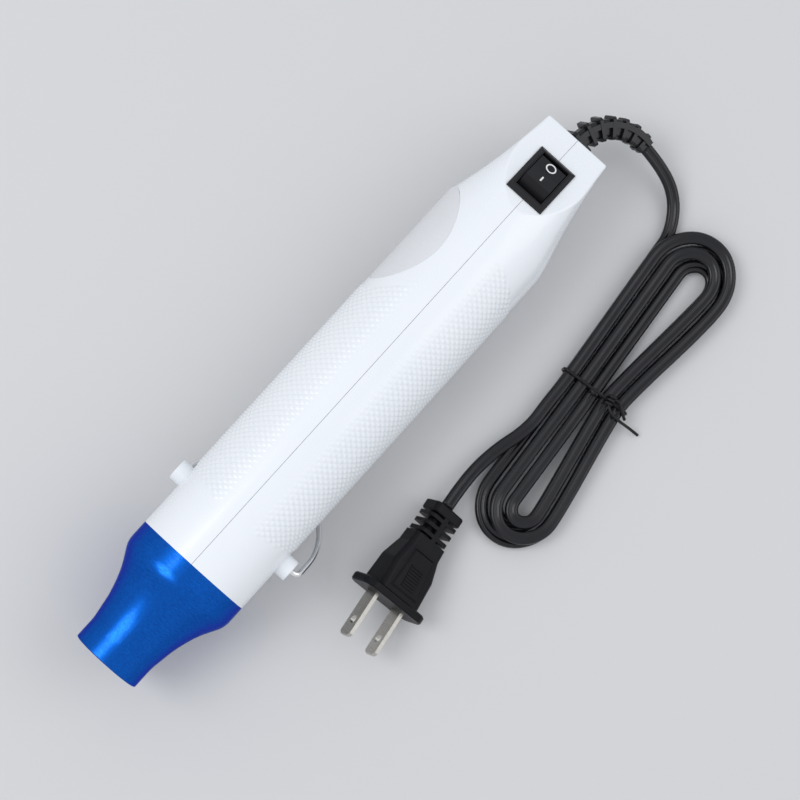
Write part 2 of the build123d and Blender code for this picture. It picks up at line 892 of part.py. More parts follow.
def make_switch_rocker():
    outline = Plane.XZ * make_face(Polyline(*rocker_outline(), close=True))
    rocker = Pos(0, rocker_width / 2, 0) * extrude(outline, rocker_width)
    rocker = fillet(rocker.edges().filter_by(Axis.Y).sort_by(Axis.Z)[-2:], rocker_edge_round)
    rocker += Rot(90, 0, 0) * Cylinder(rocker_pin_radius, rocker_width + 2 * rocker_pin_length)
    tilted = Rot(0, -rocker_half_throw, 0) * rocker
    return switch_place() * Pos(0, 0, -rocker_pivot_depth) * tilted


def make_switch_terminals():
    terminals = []
    for end in (-1, 1):
        top = switch_wall - switch_body_depth
        blade = block((-terminal_thickness / 2, -terminal_width / 2, -switch_body_depth - terminal_length),
                      (terminal_thickness / 2, terminal_width / 2, top - seat_gap))
        terminals.append(switch_place() * Pos(end * terminal_spread / 2, 0, 0) * blade)
    return terminals


# Screws

def screw_y(radius, head_radius, head_height, tip, seat, x, z):
    shank = rod_y(radius, tip, seat, x, z)
    head = rod_y(head_radius, seat, seat + head_height, x, z)
    head = fillet(head.edges().sort_by(Axis.Y)[-1], head_height / 3)
    slot = block((x - screw_slot_width / 2, seat + head_height - screw_slot_depth, z - head_radius),
                 (x + screw_slot_width / 2, seat + head_height + overrun, z + head_radius))
    cross = block((x - head_radius, seat + head_height - screw_slot_depth, z - screw_slot_width / 2),
                  (x + head_radius, seat + head_height + overrun, z + screw_slot_width / 2))
    bar = rod_y(head_radius * 0.62, seat + head_height - screw_slot_depth, seat + head_height + overrun, x, z)
    return shank + head - ((slot + cross) & bar)


def make_casing_screws():
    screws = []
    for x, z in screw_places:
        screws.append(screw_y(pilot_radius, screw_head_radius, screw_head_height,
                              -screw_tip, screw_tip + seat_gap, x, z))
    return screws


def make_clamp_screws():
    screws = []
    seat = clamp_side() + clamp_thickness + seat_gap
    for end in (-1, 1):
        z = relief_height + end * clamp_screw_spread
        screws.append(screw_y(clamp_screw_radius, clamp_head_radius, clamp_thickness / 2,
                              -clamp_side() + seat_gap, seat, clamp_middle(), z))
    return screws


def make_cord_clamp():
    side = clamp_side()
    bar = block((clamp_middle() - clamp_length / 2, side, relief_height - clamp_height / 2),
                (clamp_middle() + clamp_length / 2, side + clamp_thickness, relief_height + clamp_height / 2))
    bar = fillet(bar.edges().filter_by(Axis.Y), clamp_thickness / 2)
    for end in (-1, 1):
        z = relief_height + end * clamp_screw_spread
        far = side + clamp_thickness + overrun
        bar -= rod_y(clamp_screw_radius + seat_gap, side - overrun, far, clamp_middle(), z)
    return bar


# Strain relief at the tail

def relief_path():
    droop = math.radians(relief_droop)
    side = Vector(0, math.cos(droop), -math.sin(droop))
    start = Vector(tail_station, 0, relief_height)
    bend_start = start + Vector(-relief_lead_in, 0, 0)
    bend_end = bend_start + Vector(-relief_bend_radius, 0, 0) + side * relief_bend_radius
    end = bend_end + side * relief_lead_out
    bend = Edge.make_tangent_arc(bend_start, Vector(-1, 0, 0), bend_end)
    return Wire([Edge.make_line(start, bend_start), bend, Edge.make_line(bend_end, end)]), side


def relief_frame(path, share):
    way = path % share
    droop = math.radians(relief_droop)
    up = Vector(0, math.sin(droop), math.cos(droop))
    return Plane(origin=path @ share, x_dir=up.cross(way), z_dir=way)


def relief_block(rear, front, width, height):
    return block((rear, -width / 2, relief_height - height / 2),
                 (front, width / 2, relief_height + height / 2))


def make_strain_relief():
    path, side = relief_path()
    start = relief_frame(path, 0)
    core_face = start * RectangleRounded(relief_core_width, relief_core_height, relief_core_height / 4)
    relief = sweep(core_face, path)
    rail_height = (relief_rib_height - relief_core_height) / 2
    for up in (-1, 1):
        rail_face = start * Pos(relief_rail_offset, up * relief_rib_height * relief_rib_end_share / 2
                                - up * rail_height / 4) * Rectangle(relief_rail_width, rail_height)
        relief += sweep(rail_face, path)
    for index in range(relief_rib_count):
        share = (index + 0.5) / relief_rib_count
        size = 1 - (1 - relief_rib_end_share) * share
        place = relief_frame(path, share)
        rib = RectangleRounded(relief_rib_width * size, relief_rib_height * size, relief_rib_height / 6)
        relief += place * Pos(0, 0, -relief_rib_thickness / 2) * extrude(rib, relief_rib_thickness)
    outer, inner = relief_stations()
    neck = relief_block(outer, inner + seat_gap, relief_neck_width, relief_neck_height)
    flange = relief_block(inner + seat_gap, inner + seat_gap + relief_flange_thickness,
                          relief_rib_width, relief_rib_height)
    tongue = relief_block(inner, inner + relief_inner_length, relief_core_width, relief_core_height)
    outer_plate = relief_block(outer - seat_gap - relief_lead_in / 2, outer - seat_gap,
                               relief_rib_width, relief_rib_height)
    return relief + neck + flange + tongue + outer_plate


# Inner wires

def wire_run(points, radius):
    path = rounded_path(points)[0]
    profile = Plane(origin=path @ 0, z_dir=path % 0) * Circle(radius)
    return sweep(profile, path)


def make_supply_wires():
    relief_end = relief_stations()[1] + relief_inner_length
    wires = []
    board_end = board_station - board_length / 2
    bend = 4 * lead_wire_radius
    clear = terminal_width / 2 + 3 * lead_wire_radius
    for side in (-1, 1):
        y = side * relief_core_width / 4
        points = [
            (relief_end, y, relief_height), (relief_end + bend, y, relief_height),
            (relief_end + 2 * bend, side * clear, relief_height - lead_wire_radius),
            (board_end - 2 * bend, side * clear, board_height),
            (board_end - seat_gap, side * clear, board_height),
        ]
        wires.append(wire_run(points, lead_wire_radius))
    return wires


def make_motor_leads():
    wires = []
    board_end = board_station + board_length / 2
    motor_end = motor_rear_station - motor_cap_length
    for side in (-1, 1):
        y = side * motor_radius / 2
        points = [(board_end + seat_gap, y, board_height), (board_end + motor_radius / 2, y, board_height),
                  (motor_end - motor_radius / 2, y, 0), (motor_end - seat_gap, y, 0)]
        wires.append(wire_run(points, lead_wire_radius))
    return wires


def make_heater_leads():
    wires = []
    clear = duct_front_radius + lead_wire_radius + print_gap
    disc_rear = nozzle_joint_station - skirt_length - seat_gap - heater_disc_thickness
    for side in (-1, 1):
        height = side * 2 * lead_wire_radius
        wires.append(rod(lead_wire_radius, (duct_cone_front_station, -clear, height),
                         (disc_rear - seat_gap, -clear, height)))
    return wires


# Cord hank

def hank_point(along, across, height):
    turn = math.radians(hank_turn)
    x = hank_place[0] + along * math.cos(turn) - across * math.sin(turn)
    y = hank_place[1] + along * math.sin(turn) + across * math.cos(turn)
    return Vector(x, y, height)


def hank_way(along, across):
    return (hank_point(along, across, 0) - hank_point(0, 0, 0)).normalized()


def column(side, inset):
    return side * (2 - inset) * column_pitch


def half_turn_nodes(bottom, inset_from, inset_to, height):
    flow = 1 if bottom else -1
    side = flow
    mean = (inset_from + inset_to) / 2
    apex = (bottom_apex if bottom else top_apex) - flow * mean * apex_pitch
    lean = bottom_lean if bottom else top_lean
    left = bottom_left if bottom else top_left
    right = bottom_right if bottom else top_right
    first = left + inset_from * loop_pitch if bottom else right - inset_from * loop_pitch
    last = right - inset_to * loop_pitch if bottom else left + inset_to * loop_pitch
    shoulder = apex - flow * loop_length_share * abs(last - first) / 2
    return [
        ((shoulder, first), (flow, 0), height),
        ((apex, (first + last) / 2 + lean), (0, side), height),
        ((shoulder, last), (-flow, 0), height),
    ]


def waist_nodes(side, inset, flow, entry_height, exit_height):
    across = column(side, inset)
    return [
        ((-flow * waist_half_length, across), (flow, 0), entry_height),
        ((flow * waist_half_length, across), (flow, 0), exit_height),
    ]


def hank_nodes():
    low, high = layer_low, layer_high
    nodes = [((lead_end, top_left), (1, 0), low)]
    nodes += waist_nodes(-1, 0, 1, low, low)
    nodes += half_turn_nodes(True, 0, 0, low)
    nodes += waist_nodes(1, 0, -1, low, low)
    nodes += half_turn_nodes(False, 0, 1, low)
    nodes += waist_nodes(-1, 1, 1, low, low)
    nodes += half_turn_nodes(True, 1, 1, low)
    nodes += waist_nodes(1, 1, -1, low, low)
    nodes += half_turn_nodes(False, 1, 2, low)
    nodes += waist_nodes(-1, 2, 1, low, high)
    nodes += half_turn_nodes(True, 2, 1, high)
    nodes += waist_nodes(1, 1, -1, high, high)
    nodes += half_turn_nodes(False, 1, 1, high)
    nodes += waist_nodes(-1, 1, 1, high, high)
    nodes += half_turn_nodes(True, 1, 0, high)
    nodes += waist_nodes(1, 0, -1, high, high)
    nodes += half_turn_nodes(False, 0, 0, high)
    nodes += waist_nodes(-1, 0, 1, high, high)
    nodes.append(((tail_start, column(-1, 0) - column_gap), (1, 0), high))
    return nodes


def biarc(start, start_way, end, end_way):
    chord = end - start
    ways = start_way + end_way
    bend = 2 * (1 - start_way.dot(end_way))
    along = chord.dot(ways)
    if bend < 1e-9:
        reach = chord.dot(chord) / (2 * along)
    else:
        reach = (math.sqrt(along ** 2 + bend * chord.dot(chord)) - along) / bend
    joint = (start + end + (start_way - end_way) * reach) / 2
    joint_way = (end - end_way * reach) - (start + start_way * reach)
    return [smooth_edge(start, start_way, joint), smooth_edge(joint, joint_way.normalized(), end)]


def smooth_edge(start, way, end):
    if (end - start).cross(way).length < 1e-6 * (end - start).length:
        return Edge.make_line(start, end)
    return Edge.make_tangent_arc(start, way, end)


def hank_path():
    edges = []
    nodes = hank_nodes()
    for (place, way, height), (next_place, next_way, next_height) in zip(nodes, nodes[1:]):
        start = hank_point(*place, height)
        end = hank_point(*next_place, next_height)
        edges += biarc(start, hank_way(*way), end, hank_way(*next_way))
    return Wire(edges)


def least_gap(path, cord_samples=1500):
    core = (cord_width - cord_thickness) / 2
    cell = cord_width
    apart = 3 * cord_width
    grid = {}
    step = path.length / cord_samples
    for index in range(cord_samples + 1):
        share = index / cord_samples
        middle = path @ share
        across = Vector(0, 0, 1).cross(path % share).normalized()
        for offset in (-1, -0.5, 0, 0.5, 1):
            point = middle + across * (core * offset)
            key = (int(point.X // cell), int(point.Y // cell), int(point.Z // cell))
            grid.setdefault(key, []).append((index * step, point.X, point.Y, point.Z))
    least = cell
    for (i, j, k), points in grid.items():
        near = []
        for di in (-1, 0, 1):
            for dj in (-1, 0, 1):
                for dk in (-1, 0, 1):
                    near += grid.get((i + di, j + dj, k + dk), [])
        for place, x, y, z in points:
            for other, u, v, w in near:
                if other - place > apart:
                    least = min(least, math.dist((x, y, z), (u, v, w)))
    return least - cord_thickness


def make_cord_hank():
    path = hank_path()
    print("hank length", round(path.length, 1), "least gap to itself", round(least_gap(path), 3))
    hank = flat_tube(cord_width, cord_thickness, path)
    section = (cord_width - cord_thickness) * cord_thickness + math.pi * cord_thickness ** 2 / 4
    print("hank volume", round(hank.volume, 1), "section times length", round(section * path.length, 1))
    return hank


# Free cord

def free_cord(name, points):
    path, corners = rounded_path(points)
    print(name, "length", round(path.length, 1), "radii", [round(radius, 1) for radius in corners])
    cord = flat_tube(cord_width, cord_thickness, path)
    section = (cord_width - cord_thickness) * cord_thickness + math.pi * cord_thickness ** 2 / 4
    print(name, "volume", round(cord.volume, 1), "section times length", round(section * path.length, 1))
    return cord


def make_cord_lead():
    path, side = relief_path()
    start = path @ 1 + Vector(0, 0, axis_height)
    end = hank_point(lead_end, top_left, layer_low)
    way = hank_way(1, 0)
    points = [start, start + side * lead_entry_length, Vector(*lead_middle), end - way * lead_exit_length, end]
    return free_cord("lead", [(point.X, point.Y, point.Z) for point in points])


def plug_frame():
    turn = math.radians(plug_heading)
    rise = math.radians(plug_rise)
    roll = math.radians(plug_roll)
    way = Vector(math.cos(turn) * math.cos(rise), math.sin(turn) * math.cos(rise), math.sin(rise))
    side = Vector(0, 0, 1).cross(way).normalized()
    up = way.cross(side)
    return Plane(origin=plug_rear, x_dir=side * math.cos(roll) - up * math.sin(roll), z_dir=way)


def make_cord_tail():
    way = plug_frame().z_dir
    across = column(-1, 0) - column_gap
    start = hank_point(tail_start, across, layer_high)
    first = hank_point(tail_start + tail_entry_length, across, layer_high)
    end = Vector(*plug_rear)
    middle = hank_point(*tail_middle, layer_high - tail_sag)
    points = [start, first, middle, end - way * tail_exit_length, end]
    return free_cord("tail", [(point.X, point.Y, point.Z) for point in points])


def tie_half():
    return 2 * column_pitch + cord_width / 2 + tie_gap + tie_wire_radius


def tie_top():
    return layer_high + cord_thickness / 2 + tie_gap + tie_wire_radius


def tie_band():
    half = tie_half()
    low = tie_wire_radius
    corner = tie_wire_radius + tie_gap + cord_thickness / 2
    place = Plane(origin=hank_point(0, 0, 0), x_dir=hank_way(0, 1), z_dir=hank_way(1, 0))
    band = place * FilletPolyline((-half, low), (half, low), (half, tie_top()), (-half, tie_top()),
                                  radius=corner, close=True)
    return sweep(Plane(origin=band @ 0, z_dir=band % 0) * Circle(tie_wire_radius), band)


def tie_knot(place, height):
    helix = Edge.make_helix(tie_knot_pitch, tie_knot_length, tie_knot_radius)
    knot = sweep(Plane(origin=helix @ 0, z_dir=helix % 0) * Circle(tie_wire_radius), helix, is_frenet=True)
    core = extrude(Circle(tie_knot_radius - tie_wire_radius / 4), tie_knot_length)
    return Plane(origin=hank_point(-tie_knot_length / 2, place, height), z_dir=hank_way(1, 0)) * (knot + core)


def make_cord_tie():
    half = tie_half()
    place = half * tie_knot_share
    top = tie_top() + tie_wire_radius / 2 + tie_knot_radius
    tie = tie_band() + tie_knot(place, top)
    ends = zip(tie_end_starts, tie_end_crests, tie_end_edges, tie_end_falls)
    for index, (start, crest, edge, fall) in enumerate(ends):
        points = [
            (start[0], place + start[1], top),
            (crest[0], place + crest[1], top + index * tie_wire_radius),
            (edge[0], half + edge[1], tie_top() + edge[2]),
            (fall[0], half + fall[1], tie_top() + fall[2]),
        ]
        if index == 0:
            points.append((tie_long_tip[0], half + tie_long_tip[1], 2 * tie_wire_radius))
        tie += wire_run([tuple(hank_point(*point)) for point in points], tie_wire_radius)
    return tie


# Plug

def plug_rounded(width, height):
    return RectangleRounded(width, height, plug_corner)


def at_place(place):
    return Pos(0, 0, place)


def make_plug_body():
    body = loft([at_place(plug_relief_length) * plug_rounded(plug_neck_width, plug_neck_height),
                 at_place(plug_waist_place) * plug_rounded(plug_waist_width, plug_neck_height),
                 at_place(plug_belly_place) * plug_rounded(plug_belly_width, plug_belly_height),
                 at_place(plug_flange_place) * plug_rounded(plug_front_width, plug_front_height)], ruled=True)
    outline = RectangleRounded(plug_flange_width, plug_flange_height, plug_flange_corner)
    flange = at_place(plug_flange_place) * extrude(outline, plug_flange_thickness)
    flange = chamfer(flange.edges(), plug_flange_thickness / 6)
    core = RectangleRounded(relief_core_width, relief_core_height + panel_height, relief_core_height / 4)
    body += flange
    body += extrude(core, plug_relief_length + panel_height)
    collar = extrude(plug_rounded(plug_collar_width, plug_collar_height), collar_length_plug)
    body += chamfer(collar.edges(), panel_height / 2)
    free = plug_relief_length - collar_length_plug
    pitch = free / plug_rib_count
    for index in range(plug_rib_count):
        start = collar_length_plug + pitch * (index + 0.5) - plug_rib_thickness / 2
        body += at_place(start) * extrude(plug_rounded(plug_collar_width, plug_neck_height), plug_rib_thickness)
    for up in (-1, 1):
        rail = Rectangle(relief_rail_width, 2 * panel_height)
        rail = Pos(0, up * (plug_neck_height / 2 - panel_height)) * rail
        body += extrude(rail, plug_relief_length + panel_height)
    body += plug_panels()
    for side in (-1, 1):
        pocket = Box(blade_thickness + seat_gap, blade_width + seat_gap, blade_root + plug_flange_thickness)
        depth = plug_flange_place + plug_flange_thickness - blade_root / 2
        body -= Pos(side * blade_spread / 2, 0, depth) * pocket
    return body


def plug_panels():
    rear_half = panel_rear_width / 2
    front_half = panel_front_width / 2
    outline = [(-rear_half, panel_start), (rear_half, panel_start),
               (front_half, panel_start + panel_length), (-front_half, panel_start + panel_length)]
    span = plug_flange_place - plug_waist_place
    slope = math.atan((plug_front_height - plug_neck_height) / 2 / span)
    panels = Part()
    for up in (-1, 1):
        face = make_face(Polyline(*[(x, z - plug_waist_place) for x, z in outline], close=True))
        plate = extrude(face, 2 * panel_height)
        plate = chamfer(plate.faces().sort_by(Axis.Z)[-1].edges(), panel_height)
        for index in range(panel_ribs):
            z = panel_start + panel_length - plug_waist_place - panel_rib_pitch * (index + 2)
            plate += Pos(0, z, 2 * panel_height + panel_rib_height / 2) * Box(
                panel_rib_width, panel_rib_pitch / 2, panel_rib_height)
        place = Plane(origin=(0, up * (plug_neck_height / 2 - panel_height), plug_waist_place),
                      x_dir=(-up, 0, 0), z_dir=(0, up * math.cos(slope), -math.sin(slope)))
        panels += place * plate
    return panels


def make_plug_blades():
    front = plug_flange_place + plug_flange_thickness
    blades = []
    for side in (-1, 1):
        blade = block((-blade_thickness / 2, -blade_width / 2, front - blade_root),
                      (blade_thickness / 2, blade_width / 2, front + blade_length))
        tips = blade.faces().sort_by(Axis.Z)[-1].edges()
        blade = chamfer(tips.filter_by(Axis.X), blade_tip_chamfer)
        blade = chamfer(blade.faces().sort_by(Axis.Z)[-1].edges().filter_by(Axis.Y), blade_thickness / 4)
        hole = Rot(0, 90, 0) * Cylinder(blade_hole_radius, 2 * blade_thickness)
        hole = Pos(0, 0, front + blade_hole_place) * hole
        blades.append(Pos(side * blade_spread / 2, 0, 0) * (blade - hole))
    return blades


# Output

def lifted(shape):
    move = Pos(0, 0, axis_height)
    return [move * piece for piece in shape] if isinstance(shape, list) else move * shape


def placed_on_plug(shape):
    frame = plug_frame()
    return [frame * piece for piece in shape] if isinstance(shape, list) else frame * shape


def build():
    shell = casing_shell()
    middle_form = casing_form(wall / 2)
    tool = {
        "casing_left": make_casing_left(shell, middle_form),
        "casing_right": make_casing_right(shell, middle_form),
        "label_plate": make_label_plate(),
        "casing_screws": make_casing_screws(),
        "stand_wire": make_stand_wire(),
        "nozzle": make_nozzle(),
        "nozzle_grille": make_nozzle_grille(),
        "heater_tube": make_heater_tube(),
        "mica_sleeve": make_mica_sleeve(),
        "mica_cross": make_mica_cross(),
        "heater_coil": make_heater_coil(),
        "heater_disc": make_heater_disc(),
        "thermal_cutout": make_thermal_cutout(),
        "heater_leads": make_heater_leads(),
        "fan_shroud": make_fan_shroud(),
        "air_duct": make_air_duct(),
        "fan": make_fan(),
        "motor_can": make_motor_can(),
        "motor_end_cap": make_motor_end_cap(),
        "motor_bushes": make_motor_bushes(),
        "motor_magnets": make_motor_magnets(),
        "motor_armature": make_motor_armature(),
        "motor_shaft": make_motor_shaft(),
        "motor_leads": make_motor_leads(),
        "rectifier_board": make_rectifier_board(),
        "diodes": make_diodes(),
        "capacitor": make_capacitor(),
        "supply_wires": make_supply_wires(),
        "switch_housing": make_switch_housing(),
        "switch_rocker": make_switch_rocker(),
        "switch_terminals": make_switch_terminals(),
        "strain_relief": make_strain_relief(),
        "cord_clamp": make_cord_clamp(),
        "clamp_screws": make_clamp_screws(),
    }
    nodes = {name: lifted(shape) for name, shape in tool.items()}
    nodes["plug_body"] = placed_on_plug(make_plug_body())
    nodes["plug_blades"] = placed_on_plug(make_plug_blades())
    nodes["cord_lead"] = make_cord_lead()
    nodes["cord_hank"] = make_cord_hank()
    nodes["cord_tail"] = make_cord_tail()
    nodes["cord_tie"] = make_cord_tie()
    return nodes


os.makedirs("parts", exist_ok=True)
for name, shape in build().items():
    pieces = shape if isinstance(shape, list) else [shape]
    solids = [solid for piece in pieces for solid in piece.solids()]
    export_step(Compound(children=solids), os.path.join("parts", name + ".step"))
    print(name, len(solids), "solids")
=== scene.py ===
import math
import bpy
import bmesh
from mathutils import Matrix, Vector


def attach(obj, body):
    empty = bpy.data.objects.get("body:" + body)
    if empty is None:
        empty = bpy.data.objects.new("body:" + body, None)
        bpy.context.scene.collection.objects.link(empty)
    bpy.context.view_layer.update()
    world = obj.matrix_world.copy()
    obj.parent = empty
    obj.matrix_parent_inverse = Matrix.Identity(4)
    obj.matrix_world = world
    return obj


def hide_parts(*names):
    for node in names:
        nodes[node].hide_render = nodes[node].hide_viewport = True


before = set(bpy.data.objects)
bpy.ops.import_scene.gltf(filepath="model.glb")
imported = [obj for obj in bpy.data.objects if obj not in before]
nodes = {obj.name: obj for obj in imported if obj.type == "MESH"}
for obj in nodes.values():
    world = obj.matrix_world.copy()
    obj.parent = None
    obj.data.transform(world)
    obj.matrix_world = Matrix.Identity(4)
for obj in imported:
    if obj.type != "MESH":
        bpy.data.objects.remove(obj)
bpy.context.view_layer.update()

# Embossing heat tool on its folded wire stand, cord tied in a hank beside it.
# In the frame of the CAD: +X to the nozzle mouth, +Z up from the table.
# The sizes of the pieces are in millimetres and turned into metres with mm, camera and studio are in metres.

mm = 0.001
axisHeight = 24.3 * mm


# Camera, where the photo was taken from

cameraSet = {
    "place": (0.0648, 0.0192, 0.7039),
    "right": (-0.6662052, 0.7424448, 0.0703308),
    "ahead": (-0.1126612, -0.0069691, -0.9936090),
    "lens": 89.64,
    "sensor": 36.0,
    "clipStart": 0.01,
}


def makeCamera():
    right = Vector(cameraSet["right"]).normalized()
    back = -Vector(cameraSet["ahead"]).normalized()
    up = back.cross(right).normalized()
    turn = Matrix((right, up, back)).transposed().to_4x4()
    data = bpy.data.cameras.new("photoCamera")
    data.lens = cameraSet["lens"]
    data.sensor_width = cameraSet["sensor"]
    data.clip_start = cameraSet["clipStart"]
    cam = bpy.data.objects.new("photoCamera", data)
    cam.matrix_world = Matrix.Translation(cameraSet["place"]) @ turn
    bpy.context.collection.objects.link(cam)
    bpy.context.scene.camera = cam


makeCamera()
print("camera placed")


# Node helpers

def addNode(tree, kind, values=None, **props):
    node = tree.nodes.new(kind)
    for key, value in props.items():
        setattr(node, key, value)
    for key, value in (values or {}).items():
        node.inputs[key].default_value = value
    return node


def calc(tree, operation, first, second=None, third=None):
    node = addNode(tree, "ShaderNodeMath", operation=operation)
    for index, value in enumerate((first, second, third)):
        if value is None:
            continue
        if isinstance(value, (int, float)):
            node.inputs[index].default_value = value
        else:
            tree.links.new(value, node.inputs[index])
    return node.outputs[0]


def newGroup(name, inputs, outputs):
    group = bpy.data.node_groups.new(name, "ShaderNodeTree")
    for label, kind, value in inputs:
        socket = group.interface.new_socket(label, in_out="INPUT", socket_type=kind)
        if value is not None:
            socket.default_value = value
    for label, kind in outputs:
        group.interface.new_socket(label, in_out="OUTPUT", socket_type=kind)
    return group, group.nodes.new("NodeGroupInput"), group.nodes.new("NodeGroupOutput")


grainSet = {"cloudSpan": (0.3, 0.7), "lineSpan": (0.35, 0.65), "lineShare": 0.7}


def grainGroup(name, scales):
    # a group with two colours, a roughness and its spread, and scales of its own
    inputs = [("Vector", "NodeSocketVector", None), ("Color", "NodeSocketColor", (0.5, 0.5, 0.5, 1)),
              ("Second Color", "NodeSocketColor", (0.4, 0.4, 0.4, 1)), ("Roughness", "NodeSocketFloat", 0.4),
              ("Rough Spread", "NodeSocketFloat", 0.1)]
    inputs += [(label, "NodeSocketFloat", value) for label, value in scales]
    outputs = [("Color", "NodeSocketColor"), ("Roughness", "NodeSocketFloat"), ("Height", "NodeSocketFloat")]
    return newGroup(name, inputs, outputs)


def blendColors(group, source, sink, value, span):
    # mixes the group's two colours by a value that runs over the span
    spread = addNode(group, "ShaderNodeMapRange", {"From Min": span[0], "From Max": span[1]})
    group.links.new(value, spread.inputs["Value"])
    mix = addNode(group, "ShaderNodeMix", data_type="RGBA")
    group.links.new(spread.outputs["Result"], mix.inputs["Factor"])
    group.links.new(source.outputs["Color"], mix.inputs["A"])
    group.links.new(source.outputs["Second Color"], mix.inputs["B"])
    group.links.new(mix.outputs["Result"], sink.inputs["Color"])
    return spread.outputs["Result"]


def makeMoldedGrain():
    # soft cloudy tone, fine speckle and a height for moulded plastic, rubber and mica
    group, source, sink = grainGroup("moldedGrain", (("Cloud Scale", 60.0), ("Grain Scale", 1800.0)))
    link = group.links.new
    cloud = addNode(group, "ShaderNodeTexNoise", {"Detail": 4.0, "Roughness": 0.55})
    grain = addNode(group, "ShaderNodeTexNoise", {"Detail": 2.0, "Roughness": 0.6})
    for noise, scale in ((cloud, "Cloud Scale"), (grain, "Grain Scale")):
        link(source.outputs["Vector"], noise.inputs["Vector"])
        link(source.outputs[scale], noise.inputs["Scale"])
    blendColors(group, source, sink, cloud.outputs["Fac"], grainSet["cloudSpan"])
    both = calc(group, "MULTIPLY", calc(group, "ADD", cloud.outputs["Fac"], grain.outputs["Fac"]), 0.5)
    offset = calc(group, "SUBTRACT", both, 0.5)
    spread = calc(group, "MULTIPLY", offset, source.outputs["Rough Spread"])
    rough = calc(group, "ADD", source.outputs["Roughness"], calc(group, "MULTIPLY", spread, 2.0))
    link(rough, sink.inputs["Roughness"])
    link(grain.outputs["Fac"], sink.inputs["Height"])
    return group


def makeBrushedLines():
    # fine lines: a noise squeezed along one way, for turned and brushed metal
    group, source, sink = grainGroup("brushedLines", (("Line Scale", 4000.0), ("Stretch", 60.0)))
    link = group.links.new
    split = addNode(group, "ShaderNodeSeparateXYZ")
    link(source.outputs["Vector"], split.inputs[0])
    join = addNode(group, "ShaderNodeCombineXYZ")
    link(split.outputs["X"], join.inputs["X"])
    link(calc(group, "DIVIDE", split.outputs["Y"], source.outputs["Stretch"]), join.inputs["Y"])
    link(calc(group, "DIVIDE", split.outputs["Z"], source.outputs["Stretch"]), join.inputs["Z"])
    lines = addNode(group, "ShaderNodeTexNoise", {"Detail": 3.0, "Roughness": 0.7})
    link(join.outputs[0], lines.inputs["Vector"])
    link(source.outputs["Line Scale"], lines.inputs["Scale"])
    cloud = addNode(group, "ShaderNodeTexNoise", {"Scale": 45.0, "Detail": 3.0})
    link(source.outputs["Vector"], cloud.inputs["Vector"])
    share = grainSet["lineShare"]
    blend = calc(group, "ADD", calc(group, "MULTIPLY", lines.outputs["Fac"], share),
                 calc(group, "MULTIPLY", cloud.outputs["Fac"], 1 - share))
    tone = blendColors(group, source, sink, blend, grainSet["lineSpan"])
    spread = calc(group, "MULTIPLY", calc(group, "SUBTRACT", tone, 0.5), source.outputs["Rough Spread"])
    link(calc(group, "ADD", source.outputs["Roughness"], spread), sink.inputs["Roughness"])
    link(lines.outputs["Fac"], sink.inputs["Height"])
    return group


moldedGrain = makeMoldedGrain()
brushedLines = makeBrushedLines()


def surface(name, group, color, second, roughness, spread=0.08, bump=0.1, depth=0.02 * mm, turned=None,
            values=None, **sockets):
    # turned is a rotation of the pattern, values are the group's own scales, sockets the shader's
    mat = bpy.data.materials.new(name)
    mat.use_nodes = True
    tree = mat.node_tree
    shader = tree.nodes["Principled BSDF"]
    vector = addNode(tree, "ShaderNodeTexCoord").outputs["Object"]
    if turned:
        mapping = addNode(tree, "ShaderNodeMapping", {"Rotation": turned})
        tree.links.new(vector, mapping.inputs["Vector"])
        vector = mapping.outputs["Vector"]
    look = addNode(tree, "ShaderNodeGroup", node_tree=group)
    settings = {"Color": (*color, 1), "Second Color": (*second, 1), "Roughness": roughness,
                "Rough Spread": spread}
    settings.update(values or {})
    for key, value in settings.items():
        look.inputs[key].default_value = value
    tree.links.new(vector, look.inputs["Vector"])
    tree.links.new(look.outputs["Color"], shader.inputs["Base Color"])
    tree.links.new(look.outputs["Roughness"], shader.inputs["Roughness"])
    raised = addNode(tree, "ShaderNodeBump", {"Strength": bump, "Distance": depth})
    tree.links.new(look.outputs["Height"], raised.inputs["Height"])
    tree.links.new(raised.outputs["Normal"], shader.inputs["Normal"])
    for key, value in sockets.items():
        shader.inputs[key.replace("_", " ")].default_value = value
    return mat


def aroundAxis(mat, scale, sweep):
    # lays the pattern round the tool's axis, so that brushed lines run round the nozzle
    tree = mat.node_tree
    look = next(node for node in tree.nodes if node.type == "GROUP")
    coords = next(node for node in tree.nodes if node.type == "TEX_COORD")
    split = addNode(tree, "ShaderNodeSeparateXYZ")
    tree.links.new(coords.outputs["Object"], split.inputs[0])
    height = calc(tree, "SUBTRACT", split.outputs["Z"], axisHeight)
    angle = calc(tree, "ARCTAN2", split.outputs["Y"], height)
    join = addNode(tree, "ShaderNodeCombineXYZ")
    tree.links.new(calc(tree, "MULTIPLY", split.outputs["X"], scale), join.inputs["X"])
    tree.links.new(calc(tree, "MULTIPLY", calc(tree, "COSINE", angle), sweep), join.inputs["Y"])
    tree.links.new(calc(tree, "MULTIPLY", calc(tree, "SINE", angle), sweep), join.inputs["Z"])
    tree.links.new(join.outputs[0], look.inputs["Vector"])


# Finishes

